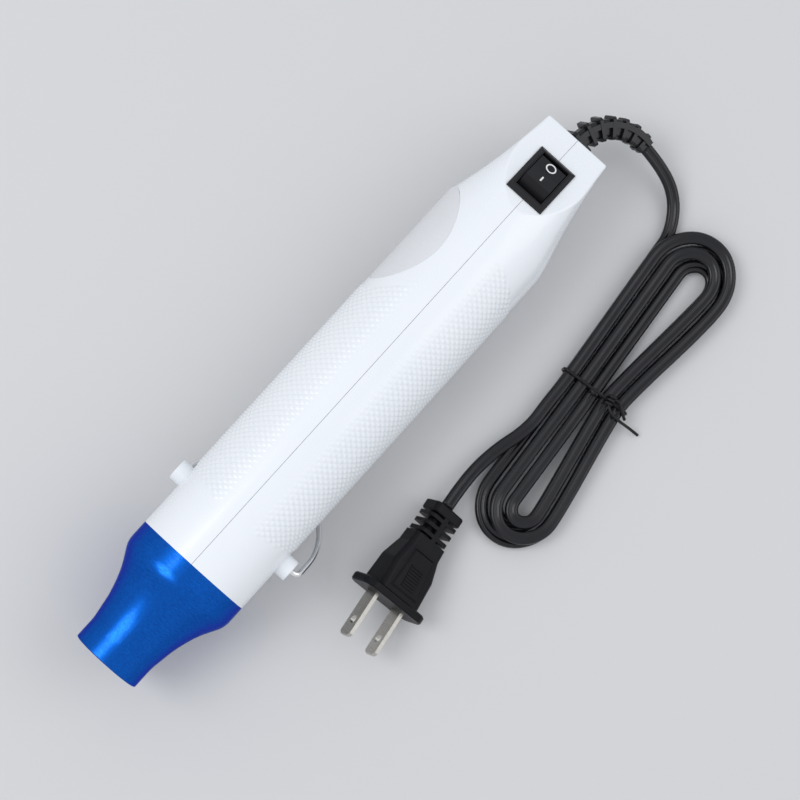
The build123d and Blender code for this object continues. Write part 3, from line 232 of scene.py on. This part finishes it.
finishes = {
    "casingWhite": surface(
        "casingWhite", moldedGrain, (0.81, 0.835, 0.865), (0.78, 0.81, 0.845), 0.27, 0.05, 0.05,
        values={"Cloud Scale": 18.0, "Grain Scale": 2600.0}, IOR=1.5, Coat_Weight=0.25, Coat_Roughness=0.12),
    "labelSilver": surface(
        "labelSilver", brushedLines, (0.77, 0.78, 0.80), (0.74, 0.75, 0.77), 0.34, 0.04, 0.02,
        values={"Line Scale": 2500.0, "Stretch": 12.0}, Metallic=0.3),
    "screwSteel": surface(
        "screwSteel", brushedLines, (0.55, 0.55, 0.56), (0.42, 0.42, 0.43), 0.35, 0.1, 0.1, Metallic=1.0),
    "standChrome": surface(
        "standChrome", brushedLines, (0.82, 0.82, 0.83), (0.74, 0.74, 0.75), 0.13, 0.05, 0.03,
        values={"Stretch": 8.0}, Metallic=1.0),
    "nozzleBlue": surface(
        "nozzleBlue", brushedLines, (0.003, 0.130, 0.60), (0.002, 0.062, 0.34), 0.30, 0.12, 0.22, 0.015 * mm,
        values={"Line Scale": 1.0, "Stretch": 1.0}, Metallic=1.0, Coat_Weight=0.12, Coat_Roughness=0.15,
        Specular_Tint=(0.12, 0.28, 0.75, 1)),
    "grilleSteel": surface(
        "grilleSteel", moldedGrain, (0.40, 0.38, 0.36), (0.28, 0.25, 0.22), 0.42, 0.12, 0.15, Metallic=1.0),
    "brightSteel": surface(
        "brightSteel", brushedLines, (0.62, 0.61, 0.59), (0.50, 0.47, 0.43), 0.33, 0.1, 0.08, Metallic=1.0),
    "mica": surface(
        "mica", moldedGrain, (0.58, 0.52, 0.40), (0.44, 0.38, 0.28), 0.45, 0.15, 0.2,
        values={"Cloud Scale": 220.0, "Grain Scale": 900.0}),
    "coilWire": surface(
        "coilWire", moldedGrain, (0.42, 0.38, 0.34), (0.30, 0.24, 0.20), 0.4, 0.1, 0.1, Metallic=1.0),
    "cutoutBrass": surface(
        "cutoutBrass", moldedGrain, (0.62, 0.47, 0.20), (0.50, 0.36, 0.15), 0.36, 0.1, 0.1, Metallic=1.0),
    "wireRed": surface("wireRed", moldedGrain, (0.42, 0.03, 0.02), (0.34, 0.02, 0.02), 0.42, 0.08, 0.1),
    "innerBlack": surface(
        "innerBlack", moldedGrain, (0.030, 0.030, 0.032), (0.022, 0.022, 0.024), 0.5, 0.1, 0.2),
    "fanGrey": surface("fanGrey", moldedGrain, (0.22, 0.23, 0.24), (0.18, 0.19, 0.20), 0.45, 0.08, 0.15),
    "motorSteel": surface(
        "motorSteel", brushedLines, (0.58, 0.58, 0.58), (0.48, 0.48, 0.48), 0.36, 0.1, 0.1, Metallic=1.0),
    "bushBrass": surface(
        "bushBrass", brushedLines, (0.66, 0.50, 0.22), (0.54, 0.40, 0.17), 0.34, 0.1, 0.1, Metallic=1.0),
    "magnetGrey": surface(
        "magnetGrey", moldedGrain, (0.09, 0.09, 0.095), (0.06, 0.06, 0.065), 0.6, 0.1, 0.25),
    "armatureSteel": surface(
        "armatureSteel", brushedLines, (0.34, 0.31, 0.28), (0.25, 0.20, 0.16), 0.42, 0.1, 0.1, Metallic=1.0),
    "boardGreen": surface(
        "boardGreen", moldedGrain, (0.02, 0.14, 0.05), (0.015, 0.10, 0.04), 0.38, 0.08, 0.1),
    "capacitorBlue": surface(
        "capacitorBlue", moldedGrain, (0.02, 0.06, 0.22), (0.015, 0.045, 0.17), 0.33, 0.06, 0.08),
    "wireBlack": surface(
        "wireBlack", moldedGrain, (0.018, 0.018, 0.018), (0.012, 0.012, 0.012), 0.45, 0.08, 0.1),
    "switchBlack": surface(
        "switchBlack", moldedGrain, (0.010, 0.010, 0.012), (0.007, 0.007, 0.009), 0.38, 0.10, 0.35, 0.03 * mm,
        values={"Grain Scale": 3500.0}, Specular_IOR_Level=0.25),
    "switchWhite": surface(
        "switchWhite", moldedGrain, (0.80, 0.80, 0.80), (0.72, 0.72, 0.73), 0.45, 0.05, 0.05),
    "terminalBrass": surface(
        "terminalBrass", brushedLines, (0.66, 0.54, 0.30), (0.56, 0.44, 0.22), 0.33, 0.1, 0.08, Metallic=1.0),
    "cordBlack": surface(
        "cordBlack", moldedGrain, (0.008, 0.008, 0.010), (0.005, 0.005, 0.007), 0.25, 0.10, 0.20, 0.03 * mm,
        values={"Cloud Scale": 120.0, "Grain Scale": 1500.0}, Specular_IOR_Level=0.36),
    "plugBlack": surface(
        "plugBlack", moldedGrain, (0.007, 0.007, 0.009), (0.005, 0.005, 0.006), 0.34, 0.10, 0.25, 0.03 * mm,
        values={"Cloud Scale": 90.0, "Grain Scale": 2200.0}, Specular_IOR_Level=0.12),
    "bladeNickel": surface(
        "bladeNickel", brushedLines, (0.56, 0.54, 0.50), (0.44, 0.42, 0.38), 0.30, 0.12, 0.15,
        turned=(0, 0, -0.143), Metallic=1.0),
    "tieBlack": surface(
        "tieBlack", moldedGrain, (0.006, 0.006, 0.007), (0.004, 0.004, 0.005), 0.40, 0.1, 0.1,
        Specular_IOR_Level=0.3),
}
aroundAxis(finishes["nozzleBlue"], scale=5200.0, sweep=14.0)
aroundAxis(finishes["motorSteel"], scale=3200.0, sweep=10.0)

nodeFinish = {
    "casing_left": "casingWhite", "casing_right": "casingWhite", "label_plate": "labelSilver",
    "casing_screws": "screwSteel", "stand_wire": "standChrome", "nozzle": "nozzleBlue",
    "nozzle_grille": "grilleSteel", "heater_tube": "brightSteel", "mica_sleeve": "mica",
    "mica_cross": "mica", "heater_coil": "coilWire", "heater_disc": "mica", "thermal_cutout": "cutoutBrass",
    "heater_leads": "wireRed", "fan_shroud": "innerBlack", "air_duct": "innerBlack", "fan": "fanGrey",
    "motor_can": "motorSteel", "motor_end_cap": "innerBlack", "motor_bushes": "bushBrass",
    "motor_magnets": "magnetGrey", "motor_armature": "armatureSteel", "motor_shaft": "brightSteel",
    "motor_leads": "wireRed", "rectifier_board": "boardGreen", "diodes": "innerBlack",
    "capacitor": "capacitorBlue", "supply_wires": "wireBlack", "switch_housing": "switchBlack",
    "switch_rocker": "switchBlack", "switch_terminals": "terminalBrass", "strain_relief": "cordBlack",
    "cord_clamp": "fanGrey", "clamp_screws": "screwSteel", "plug_body": "plugBlack",
    "plug_blades": "bladeNickel", "cord_tie": "tieBlack", "cord_lead": "cordBlack",
    "cord_hank": "cordBlack", "cord_tail": "cordBlack",
}


def paint(obj, finish):
    if len(obj.data.materials):
        for index in range(len(obj.data.materials)):
            obj.data.materials[index] = finishes[finish]
    else:
        obj.data.materials.append(finishes[finish])


for nodeName, finish in nodeFinish.items():
    paint(nodes[nodeName], finish)
print("finishes placed on", len(nodeFinish), "nodes")


# Mesh helpers

def newPiece(name, mesh, body, finish):
    obj = bpy.data.objects.new(name, mesh)
    bpy.context.collection.objects.link(obj)
    mesh.materials.clear()
    mesh.materials.append(finishes[finish])
    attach(obj, body)
    return obj


def plainMesh(name, verts, faces):
    mesh = bpy.data.meshes.new(name)
    mesh.from_pydata([tuple(v) for v in verts], [], faces)
    mesh.validate()
    return mesh


def closedMesh(name, verts, faces, smooth):
    # all faces turned outwards
    mesh = plainMesh(name, verts, faces)
    if smooth:
        mesh.shade_smooth()
    work = bmesh.new()
    work.from_mesh(mesh)
    bmesh.ops.recalc_face_normals(work, faces=work.faces)
    work.to_mesh(mesh)
    work.free()
    return mesh


# Cord: one flat twin cord from the relief, through the tied hank, to the plug

cordSet = {
    "width": 4.7, "thickness": 2.5, "columnGap": 0.56, "loopGap": 0.8, "apexGap": 0.95,
    "low": 2.59, "high": 5.57, "waistHalf": 5.0, "loopShare": 1.15,
    "place": (-63.4, 63.6), "turn": 5.46,
    "topApex": -68.6, "topLeft": -11.2, "topRight": 18.2, "topLean": 0.6,
    "bottomApex": 62.2, "bottomLeft": -11.2, "bottomRight": 15.0, "bottomLean": -0.5,
    "leadPoints": [(-139.6, 18.31, 13.26), (-139.6, 29.0, 8.28), (-135.2, 39.6, 3.9)],
    "leadExit": 9.0, "leadEnd": -54.0,
    "tailStart": 13.0, "tailEntry": 12.0, "tailMiddle": (39.0, -16.4), "tailSag": 0.9, "tailExit": 12.0,
    "plugRear": (3.7, 51.9, 6.95), "plugHeading": 8.2, "plugRise": 7.8,
    "columns": 2, "cornerShare": 0.414, "apexShare": 0.586,
    "order": 3, "steps": 10, "groove": 0.84, "grooveHalf": 0.16, "coreTurn": 125, "coreStep": 25,
}


def hankPoint(along, across, height):
    turn = math.radians(cordSet["turn"])
    x = cordSet["place"][0] + along * math.cos(turn) - across * math.sin(turn)
    y = cordSet["place"][1] + along * math.sin(turn) + across * math.cos(turn)
    return (x, y, height)


def loopEnd(bottom, insetFrom, insetTo, height):
    # the six control points of one end of the hank, corner to corner
    c = cordSet
    flow = 1 if bottom else -1
    apexPitch = c["width"] + c["apexGap"]
    loopPitch = c["width"] + c["loopGap"]
    side = "bottom" if bottom else "top"
    apex = c[side + "Apex"] - flow * (insetFrom + insetTo) / 2 * apexPitch
    left, right, lean = c[side + "Left"], c[side + "Right"], c[side + "Lean"]
    first = left + insetFrom * loopPitch if bottom else right - insetFrom * loopPitch
    last = right - insetTo * loopPitch if bottom else left + insetTo * loopPitch
    reach = c["loopShare"] * abs(last - first) / 2
    shoulder = apex - flow * reach
    middle = (first + last) / 2 + lean
    corner = flow * c["cornerShare"] * reach
    places = [
        (shoulder - corner, first), (shoulder + corner, first),
        (apex, first + (middle - first) * c["apexShare"]), (apex, last + (middle - last) * c["apexShare"]),
        (shoulder + corner, last), (shoulder - corner, last),
    ]
    return [hankPoint(along, across, height) for along, across in places]


def waist(side, inset, flow, entryHeight, exitHeight):
    across = side * (cordSet["columns"] - inset) * (cordSet["width"] + cordSet["columnGap"])
    half = cordSet["waistHalf"]
    return [hankPoint(-flow * half, across, entryHeight), hankPoint(flow * half, across, exitHeight)]


def cordPoints():
    c = cordSet
    low, high = c["low"], c["high"]
    turn = math.radians(c["turn"])
    start = Vector(hankPoint(c["leadEnd"], c["topLeft"], low))
    points = list(c["leadPoints"])
    points.append(start - Vector((math.cos(turn), math.sin(turn), 0)) * c["leadExit"])
    points.append(start)
    points += waist(-1, 0, 1, low, low) + loopEnd(True, 0, 0, low)
    points += waist(1, 0, -1, low, low) + loopEnd(False, 0, 1, low)
    points += waist(-1, 1, 1, low, low) + loopEnd(True, 1, 1, low)
    points += waist(1, 1, -1, low, low) + loopEnd(False, 1, 2, low)
    points += waist(-1, 2, 1, low, high) + loopEnd(True, 2, 1, high)
    points += waist(1, 1, -1, high, high) + loopEnd(False, 1, 1, high)
    points += waist(-1, 1, 1, high, high) + loopEnd(True, 1, 0, high)
    points += waist(1, 0, -1, high, high) + loopEnd(False, 0, 0, high)
    points += waist(-1, 0, 1, high, high)
    across = -c["columns"] * (c["width"] + c["columnGap"]) - c["columnGap"]
    points.append(hankPoint(c["tailStart"], across, high))
    points.append(hankPoint(c["tailStart"] + c["tailEntry"], across, high))
    points.append(hankPoint(*c["tailMiddle"], high - c["tailSag"]))
    heading, rise = math.radians(c["plugHeading"]), math.radians(c["plugRise"])
    way = Vector((math.cos(heading) * math.cos(rise), math.sin(heading) * math.cos(rise), math.sin(rise)))
    end = Vector(c["plugRear"])
    points.append(end - way * c["tailExit"])
    points.append(end)
    return [Vector(point) * mm for point in points]


def cordLine():
    curve = bpy.data.curves.new("cordRoute", "CURVE")
    curve.dimensions = "3D"
    curve.resolution_u = cordSet["steps"]
    points = cordPoints()
    spline = curve.splines.new("NURBS")
    spline.points.add(len(points) - 1)
    for point, place in zip(spline.points, points):
        point.co = (*place, 1)
    spline.order_u = cordSet["order"]
    spline.use_endpoint_u = True
    holder = bpy.data.objects.new("cordRoute", curve)
    bpy.context.collection.objects.link(holder)
    graph = bpy.context.evaluated_depsgraph_get()
    mesh = bpy.data.meshes.new_from_object(holder.evaluated_get(graph))
    line = [v.co.copy() for v in mesh.vertices]
    bpy.data.objects.remove(holder)
    bpy.data.curves.remove(curve)
    bpy.data.meshes.remove(mesh)
    return line


def twinProfile():
    # two round cores side by side, with a groove between them
    c = cordSet
    radius = c["thickness"] / 2
    core = c["width"] / 2 - radius
    right = []
    for angle in range(-c["coreTurn"], c["coreTurn"] + 1, c["coreStep"]):
        turn = math.radians(angle)
        right.append((core + radius * math.cos(turn), radius * math.sin(turn)))
    groove = [(c["grooveHalf"], c["groove"]), (-c["grooveHalf"], c["groove"])]
    left = [(-x, y) for x, y in reversed(right)]
    lower = [(-x, -y) for x, y in groove]
    return [(x * mm, y * mm) for x, y in right + groove + left + lower]


def tubeAlong(name, line, profile):
    verts, faces = [], []
    up = Vector((0, 0, 1))
    count = len(profile)
    for index, point in enumerate(line):
        before = line[max(index - 1, 0)]
        after = line[min(index + 1, len(line) - 1)]
        way = (after - before).normalized()
        side = up.cross(way).normalized()
        rise = way.cross(side)
        verts += [point + side * x + rise * y for x, y in profile]
    for ring in range(len(line) - 1):
        for k in range(count):
            a, b = ring * count + k, ring * count + (k + 1) % count
            faces.append((a, b, b + count, a + count))
    faces.append(tuple(reversed(range(count))))
    faces.append(tuple(range((len(line) - 1) * count, len(line) * count)))
    return closedMesh(name, verts, faces, smooth=True)


def makeCord():
    line = cordLine()
    mesh = tubeAlong("twinCord", line, twinProfile())
    cord = newPiece("twinCord", mesh, "casing", "cordBlack")
    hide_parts("cord_lead", "cord_hank", "cord_tail")


makeCord()
print("cord laid")


# Diamond grip: small raised diamonds on both sides of the casing, made by Geometry Nodes

gripSet = {
    "radius": 22.0, "sink": 0.06, "pitchAlong": 2.35, "pitchAround": 1.66, "height": 0.42, "fill": 0.98,
    "tipShare": 0.12, "tipHeight": 0.16, "weld": 0.001, "smallest": 0.08, "rowShift": 1.0, "arcReach": 32.5,
    "seamClear": 5.2, "seamFade": 6.0, "endFade": 1.6,
    "frontSeam": 57.9, "frontSide": 51.7, "rearSeam": -70.5, "rearSide": -59.5,
    "labelPlace": -57.5, "labelAngle": 70.0, "labelHalf": (25.0, 21.6),
    "ventLow": -44.5, "ventHigh": -23.5, "ventAngle": 101.0, "ventStretch": 1.12,
    "screws": [(50.0, 126.9), (-35.0, 134.8)], "screwClear": 4.2, "screwStretch": 1.2,
    "pivotPlace": 56.2, "pivotClear": 5.6,
}


def emptyGripTree():
    tree = bpy.data.node_groups.new("diamondGrip", "GeometryNodeTree")
    for label, kind in (("Geometry", "Geometry"), ("Side", "Float"), ("Radius", "Float"),
                        ("Pitch Along", "Float"), ("Pitch Around", "Float"), ("Height", "Float"),
                        ("Material", "Material")):
        tree.interface.new_socket(label, in_out="INPUT", socket_type="NodeSocket" + kind)
    tree.interface.new_socket("Geometry", in_out="OUTPUT", socket_type="NodeSocketGeometry")
    return tree, tree.nodes.new("NodeGroupInput"), tree.nodes.new("NodeGroupOutput")


def gripGrid(tree, source):
    # flat grid of points, X along the tool and Y round it
    g = gripSet
    rows = int((g["frontSeam"] - g["rearSeam"]) / g["pitchAlong"]) + 1
    columns = int(2 * g["arcReach"] / g["pitchAround"])
    grid = addNode(tree, "GeometryNodeMeshGrid", {"Vertices X": rows + 1, "Vertices Y": columns})
    for pitch, steps, size in (("Pitch Along", rows, "Size X"), ("Pitch Around", columns - 1, "Size Y")):
        tree.links.new(calc(tree, "MULTIPLY", source.outputs[pitch], float(steps)), grid.inputs[size])
    return grid.outputs["Mesh"]


def gripPlace(tree, source):
    # station along the tool and arc from the seam on top, in metres, every other row half a pitch on
    g = gripSet
    place = addNode(tree, "GeometryNodeInputPosition")
    split = addNode(tree, "ShaderNodeSeparateXYZ")
    tree.links.new(place.outputs[0], split.inputs[0])
    shifted = calc(tree, "ADD", split.outputs["Y"], g["rowShift"])
    row = calc(tree, "ROUND", calc(tree, "DIVIDE", shifted, source.outputs["Pitch Around"]))
    odd = calc(tree, "MODULO", calc(tree, "ABSOLUTE", row), 2.0)
    halfPitch = calc(tree, "MULTIPLY", source.outputs["Pitch Along"], 0.5)
    middle = (g["frontSeam"] + g["rearSeam"]) / 2 * mm
    station = calc(tree, "ADD", calc(tree, "ADD", split.outputs["X"], middle),
                   calc(tree, "MULTIPLY", odd, halfPitch))
    arc = calc(tree, "ADD", split.outputs["Y"], math.pi / 2 * g["radius"] * mm)
    return station, arc


def fade(tree, value, low, high):
    # 0 below low, 1 above high, smooth between
    node = addNode(tree, "ShaderNodeMapRange", {"From Min": low, "From Max": high},
                   interpolation_type="SMOOTHSTEP")
    tree.links.new(value, node.inputs["Value"])
    return node.outputs["Result"]


def bareOvals():
    # ovals without diamonds: place, arc from the top, half length, half width, and the one side that has it
    g = gripSet
    radius = g["radius"]
    clear, pivot = g["screwClear"], g["pivotClear"]
    ovals = [(g["labelPlace"], math.radians(g["labelAngle"]) * radius, *g["labelHalf"], -1),
             (g["pivotPlace"], math.pi / 2 * radius, pivot, pivot, 0)]
    for place, degrees in g["screws"]:
        ovals.append((place, math.radians(degrees) * radius, clear, clear * g["screwStretch"], 1))
    ventHalf = (g["ventHigh"] - g["ventLow"]) / 2
    ovals.append(((g["ventLow"] + g["ventHigh"]) / 2, math.pi * radius, ventHalf * g["ventStretch"],
                  (math.pi - math.radians(g["ventAngle"])) * radius, 0))
    return ovals


def outsideOval(tree, source, station, arc, oval):
    place, arcPlace, halfAlong, halfAround, side = oval
    dx = calc(tree, "DIVIDE", calc(tree, "SUBTRACT", station, place * mm), halfAlong * mm)
    dy = calc(tree, "DIVIDE", calc(tree, "SUBTRACT", arc, arcPlace * mm), halfAround * mm)
    squares = calc(tree, "ADD", calc(tree, "MULTIPLY", dx, dx), calc(tree, "MULTIPLY", dy, dy))
    outside = fade(tree, calc(tree, "SQRT", squares), 1.0, 1.0 + 1.0 / halfAlong)
    if side:
        other = calc(tree, "GREATER_THAN", calc(tree, "MULTIPLY", source.outputs["Side"], -float(side)), 0.0)
        outside = calc(tree, "MAXIMUM", outside, other)
    return outside


def bumpSize(tree, source, station, arc):
    # full size on the flanks, none at the seam, past both ends and in the bare ovals
    g = gripSet
    quarter = math.pi / 2 * g["radius"] * mm
    fromSeam = calc(tree, "MINIMUM", arc, calc(tree, "SUBTRACT", 2 * quarter, arc))
    # share from the seam, 0 on top, to the flank, 1 at the side
    share = calc(tree, "MINIMUM", calc(tree, "DIVIDE", fromSeam, quarter), 1.0)
    front = calc(tree, "MULTIPLY_ADD", share, (g["frontSide"] - g["frontSeam"]) * mm, g["frontSeam"] * mm)
    rear = calc(tree, "MULTIPLY_ADD", share, (g["rearSide"] - g["rearSeam"]) * mm, g["rearSeam"] * mm)
    parts = [fade(tree, calc(tree, "SUBTRACT", front, station), 0.0, g["endFade"] * mm),
             fade(tree, calc(tree, "SUBTRACT", station, rear), 0.0, g["endFade"] * mm)]
    parts += [outsideOval(tree, source, station, arc, oval) for oval in bareOvals()]
    size = fade(tree, fromSeam, g["seamClear"] * mm, (g["seamClear"] + g["seamFade"]) * mm)
    for part in parts:
        size = calc(tree, "MULTIPLY", size, part)
    return size


def diamondMesh(tree):
    # a four-sided pyramid, one across and one high, with a blunt tip on it
    g = gripSet
    base = addNode(tree, "GeometryNodeMeshCone", {"Vertices": 4, "Radius Top": g["tipShare"],
                                                  "Radius Bottom": 0.5, "Depth": 1.0}, fill_type="NONE")
    tip = addNode(tree, "GeometryNodeMeshCone", {"Vertices": 4, "Radius Top": 0.0,
                                                 "Radius Bottom": g["tipShare"],
                                                 "Depth": g["tipHeight"]}, fill_type="NONE")
    lift = addNode(tree, "GeometryNodeTransform", {"Translation": (0, 0, 1.0)})
    tree.links.new(tip.outputs["Mesh"], lift.inputs["Geometry"])
    both = addNode(tree, "GeometryNodeJoinGeometry")
    tree.links.new(lift.outputs["Geometry"], both.inputs[0])
    tree.links.new(base.outputs["Mesh"], both.inputs[0])
    welded = addNode(tree, "GeometryNodeMergeByDistance", {"Distance": g["weld"]})
    tree.links.new(both.outputs[0], welded.inputs["Geometry"])
    return welded.outputs["Geometry"]


def keepOnPoints(tree, points, name, value):
    # stores a value on the points, to be read again after they have moved
    keep = addNode(tree, "GeometryNodeStoreNamedAttribute", {"Name": name}, data_type="FLOAT", domain="POINT")
    tree.links.new(points, keep.inputs["Geometry"])
    tree.links.new(value, keep.inputs["Value"])
    read = addNode(tree, "GeometryNodeInputNamedAttribute", {"Name": name}, data_type="FLOAT")
    return keep.outputs["Geometry"], read.outputs["Attribute"]


def wrapPoints(tree, source, points, station, angle):
    # bends the flat grid round the casing
    out = calc(tree, "SUBTRACT", source.outputs["Radius"], gripSet["sink"] * mm)
    flank = calc(tree, "MULTIPLY", source.outputs["Side"], calc(tree, "SINE", angle))
    height = calc(tree, "ADD", calc(tree, "MULTIPLY", calc(tree, "COSINE", angle), out), axisHeight)
    join = addNode(tree, "ShaderNodeCombineXYZ")
    for value, axis in ((station, "X"), (calc(tree, "MULTIPLY", flank, out), "Y"), (height, "Z")):
        tree.links.new(value, join.inputs[axis])
    wrapped = addNode(tree, "GeometryNodeSetPosition")
    tree.links.new(points, wrapped.inputs["Geometry"])
    tree.links.new(join.outputs[0], wrapped.inputs["Position"])
    return wrapped.outputs["Geometry"]


def spreadDiamonds(tree, source, points, size, turn):
    link = tree.links.new
    g = gripSet
    drop = addNode(tree, "GeometryNodeDeleteGeometry", domain="POINT")
    link(points, drop.inputs["Geometry"])
    link(calc(tree, "LESS_THAN", size, g["smallest"]), drop.inputs["Selection"])
    scale = addNode(tree, "ShaderNodeCombineXYZ")
    link(calc(tree, "MULTIPLY", source.outputs["Pitch Along"], g["fill"]), scale.inputs["X"])
    link(calc(tree, "MULTIPLY", source.outputs["Pitch Around"], 2 * g["fill"]), scale.inputs["Y"])
    link(calc(tree, "MULTIPLY", source.outputs["Height"], size), scale.inputs["Z"])
    roll = addNode(tree, "ShaderNodeCombineXYZ")
    link(turn, roll.inputs["X"])
    spread = addNode(tree, "GeometryNodeInstanceOnPoints")
    link(drop.outputs["Geometry"], spread.inputs["Points"])
    link(diamondMesh(tree), spread.inputs["Instance"])
    link(roll.outputs[0], spread.inputs["Rotation"])
    link(scale.outputs[0], spread.inputs["Scale"])
    return spread.outputs["Instances"]


def makeGripTree():
    tree, source, sink = emptyGripTree()
    link = tree.links.new
    station, arc = gripPlace(tree, source)
    angle = calc(tree, "DIVIDE", arc, gripSet["radius"] * mm)
    roll = calc(tree, "MULTIPLY", calc(tree, "MULTIPLY", source.outputs["Side"], angle), -1.0)
    points = gripGrid(tree, source)
    points, size = keepOnPoints(tree, points, "bumpSize", bumpSize(tree, source, station, arc))
    points, turn = keepOnPoints(tree, points, "bumpTurn", roll)
    points = wrapPoints(tree, source, points, station, angle)
    real = addNode(tree, "GeometryNodeRealizeInstances")
    link(spreadDiamonds(tree, source, points, size, turn), real.inputs["Geometry"])
    smooth = addNode(tree, "GeometryNodeSetShadeSmooth", {"Shade Smooth": True})
    link(real.outputs["Geometry"], smooth.inputs["Geometry"])
    dress = addNode(tree, "GeometryNodeSetMaterial")
    link(smooth.outputs["Geometry"], dress.inputs["Geometry"])
    link(source.outputs["Material"], dress.inputs["Material"])
    link(dress.outputs["Geometry"], sink.inputs["Geometry"])
    return tree


def runTree(name, tree, values):
    # runs a Geometry Nodes tree on an empty mesh and returns the plain mesh
    holder = bpy.data.objects.new(name, bpy.data.meshes.new(name + "Base"))
    bpy.context.collection.objects.link(holder)
    modifier = holder.modifiers.new(name, "NODES")
    modifier.node_group = tree
    for item in tree.interface.items_tree:
        if item.in_out == "INPUT" and item.name in values:
            modifier[item.identifier] = values[item.name]
    graph = bpy.context.evaluated_depsgraph_get()
    mesh = bpy.data.meshes.new_from_object(holder.evaluated_get(graph))
    mesh.name = name
    holder.modifiers.clear()
    bpy.data.objects.remove(holder)
    return mesh


def makeGrip():
    g = gripSet
    tree = makeGripTree()
    for side, label in ((-1.0, "Left"), (1.0, "Right")):
        mesh = runTree("grip" + label, tree, {
            "Side": side, "Radius": g["radius"] * mm, "Pitch Along": g["pitchAlong"] * mm,
            "Pitch Around": g["pitchAround"] * mm, "Height": g["height"] * mm,
            "Material": finishes["casingWhite"],
        })
        print("grip", label, len(mesh.polygons), "faces")
        newPiece("grip" + label, mesh, "casing", "casingWhite")


makeGrip()
print("grip made")


# Marks on the rocker: a ring and a bar, as on any mains switch

markSet = {
    "pivot": (-97.212, 0.0, 36.239), "facet": 20.0, "tilt": 11.0, "height": 7.3, "lift": 0.03, "thick": 0.06,
    "ringPlace": -3.35, "ringOuter": 2.0, "ringInner": 1.5, "ringSteps": 48,
    "barPlace": 3.15, "barLength": 2.3, "barWidth": 0.62,
}


def rockerPoint(x, y, z):
    # a point measured from the rocker's pivot, along and square to its marked face
    turn = math.radians(markSet["facet"] + markSet["tilt"])
    along = x * math.cos(turn) - z * math.sin(turn)
    rise = x * math.sin(turn) + z * math.cos(turn)
    px, py, pz = markSet["pivot"]
    return Vector((px + along, py + y, pz + rise)) * mm


def ringShape(low, top):
    m = markSet
    corners = ((m["ringInner"], low), (m["ringInner"], top), (m["ringOuter"], top), (m["ringOuter"], low))
    verts, faces = [], []
    for step in range(m["ringSteps"]):
        angle = 2 * math.pi * step / m["ringSteps"]
        for radius, z in corners:
            verts.append(rockerPoint(m["ringPlace"] + radius * math.cos(angle), radius * math.sin(angle), z))
    total = 4 * m["ringSteps"]
    for step in range(m["ringSteps"]):
        for k in range(4):
            a, b = 4 * step + k, 4 * step + (k + 1) % 4
            faces.append((a, (a + 4) % total, (b + 4) % total, b))
    return verts, faces


def barShape(low, top):
    m = markSet
    halfLong, halfWide = m["barLength"] / 2, m["barWidth"] / 2
    verts = [rockerPoint(m["barPlace"] + x, y, z)
             for x in (-halfLong, halfLong) for y in (-halfWide, halfWide) for z in (low, top)]
    return verts, [(0, 1, 3, 2), (4, 6, 7, 5), (0, 4, 5, 1), (2, 3, 7, 6), (1, 5, 7, 3), (0, 2, 6, 4)]


def makeMarks():
    top = markSet["height"] + markSet["lift"]
    low = top - markSet["thick"]
    verts, faces = ringShape(low, top)
    barVerts, barFaces = barShape(low, top)
    faces += [tuple(len(verts) + k for k in face) for face in barFaces]
    mesh = closedMesh("rockerMarks", verts + barVerts, faces, smooth=False)
    newPiece("rockerMarks", mesh, "rocker", "switchWhite")


makeMarks()
print("marks made")


# Floor, lamps and world

studio = {
    "floorTone": (0.60, 0.60, 0.605), "floorHalf": 3.0, "floorRough": 0.85,
    "worldTone": (0.93, 0.955, 1.0), "worldStrength": 0.80,
    "key": {"place": (0.40, -0.55, 1.0), "size": 0.6, "power": 4.4},
    "fill": {"place": (-0.6, 0.7, 0.9), "size": 0.9, "power": 3.0},
}


def makeFloor():
    half = studio["floorHalf"]
    verts = [(-half, -half, 0), (half, -half, 0), (half, half, 0), (-half, half, 0)]
    mesh = plainMesh("studioFloor", verts, [(0, 1, 2, 3)])
    floor = bpy.data.objects.new("studioFloor", mesh)
    bpy.context.collection.objects.link(floor)
    mat = bpy.data.materials.new("floorPale")
    mat.use_nodes = True
    shader = mat.node_tree.nodes["Principled BSDF"]
    shader.inputs["Base Color"].default_value = (*studio["floorTone"], 1)
    shader.inputs["Roughness"].default_value = studio["floorRough"]
    mesh.materials.append(mat)


def makeLamp(name, settings):
    data = bpy.data.lights.new(name, "AREA")
    data.shape = "SQUARE"
    data.size = settings["size"]
    data.energy = settings["power"]
    lamp = bpy.data.objects.new(name, data)
    place = Vector(settings["place"])
    lamp.matrix_world = Matrix.Translation(place) @ (-place).to_track_quat("-Z", "Y").to_matrix().to_4x4()
    bpy.context.collection.objects.link(lamp)


def makeWorld():
    world = bpy.data.worlds.new("studioWorld")
    world.use_nodes = True
    shade = world.node_tree.nodes["Background"]
    shade.inputs["Color"].default_value = (*studio["worldTone"], 1)
    shade.inputs["Strength"].default_value = studio["worldStrength"]
    bpy.context.scene.world = world


makeFloor()
makeLamp("keyLamp", studio["key"])
makeLamp("fillLamp", studio["fill"])
makeWorld()
bpy.context.scene.view_settings.view_transform = "Standard"
print("studio lit")
